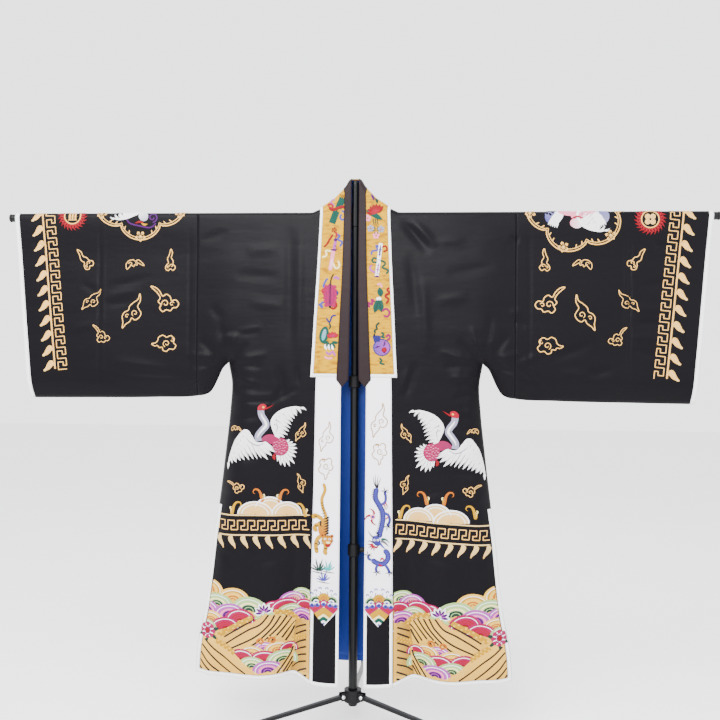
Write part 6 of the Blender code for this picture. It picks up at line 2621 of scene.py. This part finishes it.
        self.line(((4, -67), (12, -71), (20, -66)), 8.5, RED, LEAF, 9.5)
        for x in (5, 10, 15):
            self.line(((x, -42), (x, -48)), 3.2, INK, TAPER, 8.5)
        for x, y in ((-4, -58), (-4, -64), (23, -58)):
            self.line(((x - 3, y), (x + 3, y - 1)), 3.0, INK, LEAF, 8.5)

    def dragon(self) -> None:
        """A blue dragon that comes down the lapel, with a pearl in flames before it."""
        for x, y in ((-18, 130), (-12, 136), (-4, 134), (4, 128)):
            self.line(((-7, 94), ((x - 8) * 0.6, 112), (x, y)), 3.6, INK, TAPER)
        spine = ((-7, 98), (-11, 84), (-10, 68), (0, 50), (8, 34), (9, 14), (6, -6), (2, -22), (0, -36))
        path = smooth(spine, 5.0)
        for x, y in path[1:-1]:
            self.line(((x - 3, y), (x - 8, y + 1), (x - 11, y + 4)), 4.2, BLUE, TAPER)
        for way in (((2, 52), (14, 60), (16, 74), (13, 90)), ((12, 32), (24, 24), (27, 10), (21, -6)),
                    ((-20, -96), (-28, -92), (-30, -82)), ((-4, -108), (-8, -118), (-6, -128)),
                    ((14, -106), (22, -116), (28, -130))):
            self.line(way, 7, SKY, EVEN, 1, BLUE)
            self.rays(*way[-1], 1, 12, 20, 340, 5, 3.6, INK, TAPER, 1)
        for way in (
            ((12, 62), (20, 50), (18, 38)), ((9, 58), (15, 46), (13, 36)), ((16, 14), (24, 22), (24, 34)),
        ):
            self.line(way, 4.5, CORAL, TAPER, 1)
        self.line(spine, 13.5, BLUE, EVEN, 2)
        self.line(spine, 9.5, SKY, EVEN, 3.5)
        for x, y in path[1:-1]:
            self.line(((x - 4, y + 2), (x, y - 1), (x + 4, y + 2)), 2.4, BLUE, LEAF, 6)
        lower = ((12, -68), (22, -78), (22, -94), (8, -106), (-8, -102), (-20, -94))
        self.line(lower, 14, BLUE, EVEN, 1)
        self.line(lower, 9.5, SKY, EVEN, 2.5)
        for x, y in smooth(lower, 6.0)[1:-1]:
            self.line(((x - 3, y + 3), (x, y), (x + 3, y + 3)), 2.4, BLUE, LEAF, 5)
        for way in (((2, -98), (8, -90), (14, -98)), ((-2, -104), (4, -110), (10, -108))):
            self.line(way, 5, CORAL, LEAF, 5)
        self.line(((4, -44), (14, -48), (26, -60)), 8, GREY, TAPER, 3)
        self.line(((4, -40), (16, -40), (28, -50)), 7, TEAL, TAPER, 3)
        self.line(((0, -48), (8, -58), (18, -68)), 7, SKY, TAPER, 3)
        self.blob(-8, -44, 30, 20, SKY, 5, -60, BLUE)
        for way in (((-14, -36), (-22, -30), (-32, -16)), ((-4, -34), (-2, -26), (-12, -20)),
                    ((-14, -50), (-26, -44), (-32, -50))):
            self.line(way, 4, INK, TAPER, 6)
        for x in (-13, -4):
            self.blob(x, -42, 6.5, 6.5, WHITE, 7)
            self.blob(x, -42, 3.6, 3.6, INK, 8.5)
        self.rays(-14, -54, 2, 18, 180, 270, 4, 6, CORAL, TAPER, 6)
        self.line(((-12, -58), (-8, -62), (-3, -58)), 5, RED, LEAF, 7)
        for start in (40, 130, 220):
            self.line(swirl(-18, 20, (7, 12, 18, 25), start, 3), 7, CORAL, TAPER, 1)
        self.blob(-18, 20, 14, 14, BLUSH, 1)
        self.blob(-18, 20, 8, 8, BLUE, 2.5)

    def grass(self, thread: Thread) -> None:
        """A tuft of grass on its line of ground.

        Args:
            thread: Its thread.
        """
        self.rays(0, 0, 1, 17, 30, 150, 6, 2.8, thread, LEAF, bend=6)
        self.rays(0, 0, 1, 24, 74, 104, 2, 2.6, thread, LEAF, 1)
        self.line(((-14, 0), (0, -2), (14, -4)), 2.0, BROWN, LEAF)

    def shore(self) -> None:
        """Chevron rocks in the lapel's point, under waves and spray."""
        slope, point, half, top = 0.75, 44.0, 39.5, 30.0
        for thread, width in (
            (PINK, 10.0), (CORAL, 4.0), (PINK, 5.0), (YELLOW, 15.0), (CREAM, 5.0), (TEAL, 8.5), (WHITE, 5.0),
            (SKY, 5.5),
        ):
            top -= width * 0.625
            reach = min(37.0, (top + point) / (slope + point / half) - 1.0)
            chevron = [(x, top - slope * abs(x)) for x in np.linspace(-reach, reach, 11)]
            self.line(chevron, width + 0.6, thread, BUTT)
            top -= width * 0.625
        for x, flip in ((-20, 1), (20, -1)):
            turns = (0, 160) if flip < 0 else (20, 180)
            rings = ((15.0, 3.4, MINT), (11.0, 6.4, GREEN), (6.4, 3.4, WHITE), (2.6, 5.0, SKY))
            for step, (radius, width, thread) in enumerate(rings):
                self.line(arc(x, 17, radius, *turns), width, thread, BUTT, 3 + 0.1 * step, crown=0.2 * MM)
        self.rays(0, 26, 8, 18, 25, 155, 6, 8, YELLOW, LEAF, 4)
        for step, thread in enumerate((YELLOW, YELLOW, ORANGE, YELLOW, ORANGE)):
            ring = arc(0, 26, 12.5 - 2.7 * step, -20, 200)
            self.line(ring, 3.1, thread, BUTT, 4 + 0.1 * step, crown=0.2 * MM)
        for number, (x, y) in enumerate(((-31, 9), (-17, 11), (17, 11), (31, 9), (0, 14))):
            self.blob(x, y, 15, 13, SKY, 5 + 0.2 * number)
            self.line(arc(x, y, 5.4, 0, 180), 2.6, WHITE, BUTT, 6.5 + 0.2 * number)
            self.blob(x, y - 1, 6, 6, BLUE, 6.5 + 0.2 * number)
        for x, y in ((-31, 38), (-21, 47), (-9, 54), (9, 54), (21, 47), (31, 38)):
            self.line(coil(x, y, 5.0, 200, -0.8), 2.6, SKY, level=1)
            self.line(((x - 2, y - 6), (x + 1, y - 12), (x, y - 16)), 2.0, BLUE, LEAF, 1)


@dataclass(frozen=True)
class NeckWork:
    """Embroidery of the yellow collar and the white lapel on one side."""

    side: Side

    def build(self) -> None:
        """Work the collar and the lapel."""
        word = self.side.name.lower()
        collar = Hoop(f"collar_embroidery_{word}", FRONT, ON_BAND)
        lapel = Hoop(f"lapel_embroidery_{word}", FRONT, ON_BAND)
        if self.side is LEFT:
            drawn = ((Emblem.tube, -0.049, 1.414, 1.0), (Emblem.sword, -0.058, 1.306, 1.05),
                     (Emblem.long_fan, -0.066, 1.186, 1.12), (Emblem.gourd, -0.069, 1.072, 1.15))
            clouds = ((Cloud.TWIN, -0.074, 0.794, 0.92, 6), (Cloud.ROUND, -0.075, 0.712, 1.0, 84))
        else:
            drawn = ((Emblem.lotus, 0.056, 1.410, 1.08), (Emblem.flute, 0.066, 1.276, 1.0),
                     (Emblem.clappers, 0.066, 1.162, 1.16), (Emblem.drum, 0.072, 1.056, 1.1))
            clouds = ((Cloud.TWIN, 0.070, 0.840, 1.05, 6), (Cloud.ROUND, 0.071, 0.754, 1.0, 84))
        for draw, x, run, size in drawn:
            draw(Emblem(collar, x, run, size))
        for kind, x, run, size, turn in clouds:
            kind.draw(Spot(lapel, x, run, size, turn), SAND, 2.3)
        if self.side is LEFT:
            Emblem(lapel, -0.077, 0.571).tiger()
            for x, run, size, thread in ((-0.089, 0.430, 1.5, GREEN), (-0.064, 0.432, 1.3, PALE_TEAL),
                                         (-0.076, 0.404, 1.3, SKY)):
                Emblem(lapel, x, run, size).grass(thread)
        else:
            Emblem(lapel, 0.074, 0.560).dragon()
        place = SHORE_X * self.side.value, LAPEL_SHOULDER - SHORE_DROP
        Emblem(lapel, *place, flip=-self.side.value).shore()
        report(collar.make())
        report(lapel.make())


@dataclass(frozen=True)
class BackWork:
    """The hem border carried round to one back panel: rows of round waves under a plain fret."""

    side: Side
    waves: tuple[tuple[Thread, ...], ...] = (AMBER_WAVE, MINT_WAVE, LILAC_WAVE, ROSE_WAVE)
    rows: int = 5
    count: int = 8
    top: float = 0.342
    drop: float = 0.040
    gap: float = 0.060
    radius: float = 0.037
    border_top: float = 0.566
    border_foot: float = 0.514
    span: tuple[float, float] = (0.006, 0.374)
    steps: int = 60
    fret_over: float = 13.5 * MM
    drops_under: float = 16 * MM

    def build(self) -> None:
        """Work the back panel's hem."""
        word = self.side.name.lower()
        hoop = Hoop(f"back_embroidery_{word}", BACK)
        fans = []
        for row in range(self.rows):
            run = self.top - self.drop * row
            for number in range(self.count):
                x = self.gap * (number + row % 2 / 2)
                fans.append(Fan(x, run, self.radius, self.waves[(number + 2 * row) % 4]))
        HemWork(self.side, hoop, BACK, 16).fans(fans, 0.0)
        x = np.linspace(*self.span, self.steps)
        for run in (self.border_top, self.border_foot):
            line = np.stack([x * self.side.value, np.full(self.steps, run)], axis=1)
            hoop.stroke(line, BORDER_LINE, PALE_GILT)
        report(hoop.make())
        path = np.stack([x * self.side.value, np.full(self.steps, self.border_foot + self.fret_over)], axis=1)
        left = self.side is LEFT
        couch_fret(f"back_fret_{word}", BACK, path[::-1] if left else path, BODY_FRET_PITCH, BODY_FRET_WIDTH)
        path = path - np.array([0, self.drops_under])
        drops = Repeat(f"back_drops_{word}", body_drop_unit(self.side is RIGHT), BODY_DROP_PITCH)
        report(drops.along(BACK, path if left else path[::-1], inset=2 * DROPS_INSET))


FROM_EDGE = 1.6 * MM
FROM_CUFF_TAPE = 1.8 * MM
CUFF_SHARE = 0.995
COLLAR_ROW, FOOT_ROW_END = 2.52, 2.7
GUARD_ASIDE = 0.05
JOIN_ASIDE = 4 * MM
HEM_START = {FRONT: 0.114, BACK: 0.004}
HEM_END = 0.420


@dataclass(frozen=True)
class Seams:
    """Rows of stitches along the tapes, bands and joins of one side."""

    side: Side

    def sew(self, name: str, layer: Layer, x: Array, run: Array, base: float, thread: Thread) -> None:
        """One row of stitches.

        Args:
            name: Its name.
            layer: The layer that run is counted on.
            x: Distances from the centre.
            run: The way up the cloth.
            base: How far the sewn cloth lies over the panel.
            thread: Its thread.
        """
        places = np.stack(np.broadcast_arrays(x * self.side.value, run), axis=1)
        row = Repeat(f"{name}_{self.side.name.lower()}", stitch_unit(thread), STITCH_PITCH, SILK)
        report(row.along(layer, places, base - STITCH_SUNK, unevenness=0.12))

    def beside(self, name: str, columns: Array | float, heights: Array, base: float = ON_BAND,
               thread: Thread = PALE_GREY) -> None:
        """One row of stitches on the band or what lies on it.

        Args:
            name: Its name.
            columns: Column numbers of the band, as in band_x.
            heights: Heights of its places.
            base: How far the sewn cloth lies over the panel.
            thread: Its thread.
        """
        x = band_x(FRONT, np.broadcast_to(columns, heights.shape), heights)
        self.sew(name, FRONT, x, DRAPE.run(FRONT, x, heights), base, thread)

    def build(self) -> None:
        """Sew every row."""
        for layer in Layer:
            word = layer.name.lower()
            slit = spaced(HEM[layer] + BINDING, SLIT_TOP - 3 * MM)
            side = DRAPE.row("side", slit) - BINDING + FROM_EDGE
            self.sew(f"slit_stitches_{word}", layer, side, DRAPE.run(layer, side, slit), ON_CLOTH, PALE_GREY)
            x = spaced(HEM_START[layer], HEM_END)
            run = DRAPE.run(layer, x, np.full(len(x), HEM[layer])) + BINDING - FROM_EDGE
            self.sew(f"hem_stitches_{word}", layer, x, run, ON_CLOTH, PALE_GREY)
        heights = rows_to_ridge(COLLAR_FOOT + 4 * MM)
        self.beside("collar_edge_stitches", COLLAR_ROW, heights)
        guard = np.interp(heights, *zip(*GUARD_OUTER)) - GUARD_ASIDE
        self.beside("guard_edge_stitches", guard, heights, ON_BAND + LEVEL, BROWN)
        heights = spaced(LAPEL_SHOULDER + 4 * MM, COLLAR_FOOT - 3 * MM)
        for number in (0.06, 1.94):
            self.beside(f"lapel_stitches_{round(number)}", number, heights)
        foot = np.full(30, COLLAR_FOOT + PIPING_WIDTH / 2)
        self.beside("collar_foot_stitches", np.linspace(0.0, FOOT_ROW_END, len(foot)), foot)
        down = spaced(0, 1, 0.02)
        end = CUFF_TOP_X + (CUFF_FOOT_X - CUFF_TOP_X) * down - CUFF_TAPE + FROM_CUFF_TAPE
        drop = down * (BAR_Z - DRAPE.sleeve_foot(end)) * CUFF_SHARE
        x = np.concatenate([end[::-1], end])
        run = np.concatenate([(BAR_Z - drop)[::-1], BAR_Z + math.pi * R + drop])
        self.sew("cuff_stitches", FRONT, x, run, ON_CLOTH, PALE_GREY)
        run = spaced(JOIN_FOOT, 2 * RIDGE - JOIN_FOOT)
        for name, aside in (("join_stitches_inner", -JOIN_ASIDE), ("join_stitches_outer", JOIN_ASIDE)):
            self.sew(name, FRONT, np.full(len(run), JOIN_X + aside), run, 0.0, INK)


class Stand:
    """The tee stand: the solids of the frame with their finishes."""

    FINISHES = {
        "clamp": MOULDED, "knob": MOULDED, "hub": MOULDED, "rivet": STEEL, "foot": RUBBER, "bar_cap": RUBBER,
        "post": POWDER, "crossbar": POWDER, "leg": POWDER,
    }

    def dress(self) -> None:
        """Give every solid of the stand its finish."""
        for item in bpy.data.objects:
            for word, kind in self.FINISHES.items():
                if item.type == "MESH" and item.name.startswith(word):
                    item.material_slots[0].material = finish(kind)
                    log.info("%s: %s", item.name, kind.name)


class Lamp(NamedTuple):
    """A soft square light: its place, the point it is aimed at, its size and its power."""

    name: str
    place: Colour
    target: Colour
    size: float
    power: float


@dataclass(frozen=True)
class Studio:
    """Pale floor, soft light and the camera."""

    LAMPS = (
        Lamp("key", (-0.9, -2.2, 3.1), (0, 0, 1.1), 2.2, 172),
        Lamp("front", (-0.3, -3.2, 2.2), (0, 0, 1.1), 0.9, 62),
        Lamp("fill", (2.4, -2.6, 1.8), (0, 0, 0.9), 1.6, 23),
        Lamp("rim", (0.4, 1.8, 3.2), (0, 0, 1.1), 2.4, 63),
    )
    floor_reach: float = 9.0
    floor_grey: float = 0.88
    sky: Colour = (0.98, 0.985, 1.0)
    sky_strength: float = 2.75
    camera_place: Colour = (0.220, -2.8224, 1.0588)
    yaw: float = 4.35
    pitch: float = -1.17
    roll: float = 0.34
    lens: float = 49.2

    def set_up(self) -> None:
        """Make the floor, the lights and the camera."""
        mesh = bpy.data.meshes.new("floor")
        corners = np.array([(-1, -1, 0), (1, -1, 0), (1, 1, 0), (-1, 1, 0)]) * self.floor_reach
        mesh.from_pydata(corners.tolist(), [], [(0, 1, 2, 3)])
        floor = bpy.data.objects.new("floor", mesh)
        dye = Dye("pale_floor")
        dye.steady(Base_Color=(*[self.floor_grey] * 3, 1.0), Roughness=0.7)
        mesh.materials.append(dye.material)
        bpy.context.scene.collection.objects.link(floor)
        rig.stage(floor)
        world = bpy.data.worlds.new("studio")
        world.use_nodes = True
        colour, strength = world.node_tree.nodes["Background"].inputs[:2]
        colour.default_value = (*self.sky, 1.0)
        strength.default_value = self.sky_strength
        bpy.context.scene.world = world
        for lamp in self.LAMPS:
            self.light(lamp)
        self.aim()

    @staticmethod
    def light(lamp: Lamp) -> None:
        """Make and aim one light.

        Args:
            lamp: What it is like.
        """
        data = bpy.data.lights.new(lamp.name, "AREA")
        data.size = lamp.size
        data.energy = lamp.power
        item = bpy.data.objects.new(lamp.name, data)
        item.location = lamp.place
        item.rotation_euler = (Vector(lamp.target) - Vector(lamp.place)).to_track_quat("-Z", "Y").to_euler()
        bpy.context.scene.collection.objects.link(item)

    def aim(self) -> None:
        """Set the camera at the picture's own place and angle."""
        turn = Euler((math.radians(90 + self.pitch), 0, math.radians(self.yaw))).to_matrix()
        roll = Euler((0, 0, math.radians(self.roll))).to_matrix()
        data = bpy.data.cameras.new("camera")
        data.lens = self.lens
        camera = bpy.data.objects.new("camera", data)
        camera.location = self.camera_place
        camera.rotation_euler = (turn @ roll).to_euler()
        bpy.context.scene.collection.objects.link(camera)
        bpy.context.scene.camera = camera


def main() -> None:
    """Build every piece in order."""
    logging.basicConfig(level=logging.INFO, format="%(name)s: %(message)s")
    for side in Side:
        for layer in Layer:
            BodyPanel(layer, side).build()
        Sleeve(side).build()
        OpeningEdge(side).build()
    BackNeck().build()
    SleeveWork(
        LEFT, border_top=0.879, border_foot=0.838, border_low=0.973, roundel_past=0.055, roundel_turn=0.0,
        disc_x=0.792, disc_run=1.401,
    ).build()
    SleeveWork(
        RIGHT, border_top=0.880, border_foot=0.837, border_low=0.960, roundel_past=0.019, roundel_turn=16.0,
        disc_x=0.791, disc_run=1.386,
    ).build()
    BodyWork(
        LEFT, crane_x=0.223, crane_run=0.786, crane_turn=0.0, upper=(0.580, 0.575), lower=(0.526, 0.521)
    ).build()
    BodyWork(
        RIGHT, crane_x=0.239, crane_run=0.7745, crane_turn=4.5, upper=(0.573, 0.556), lower=(0.522, 0.505)
    ).build()
    for side in Side:
        NeckWork(side).build()
        BackWork(side).build()
        Seams(side).build()
    Stand().dress()
    Studio().set_up()
    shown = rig.bounds()
    with open(SIZES_FILE, "w") as handle:
        json.dump({"cad": [list(v) for v in CAD_BOX], "shown": [list(v) for v in shown]}, handle)


if __name__ == "__main__":
    main()
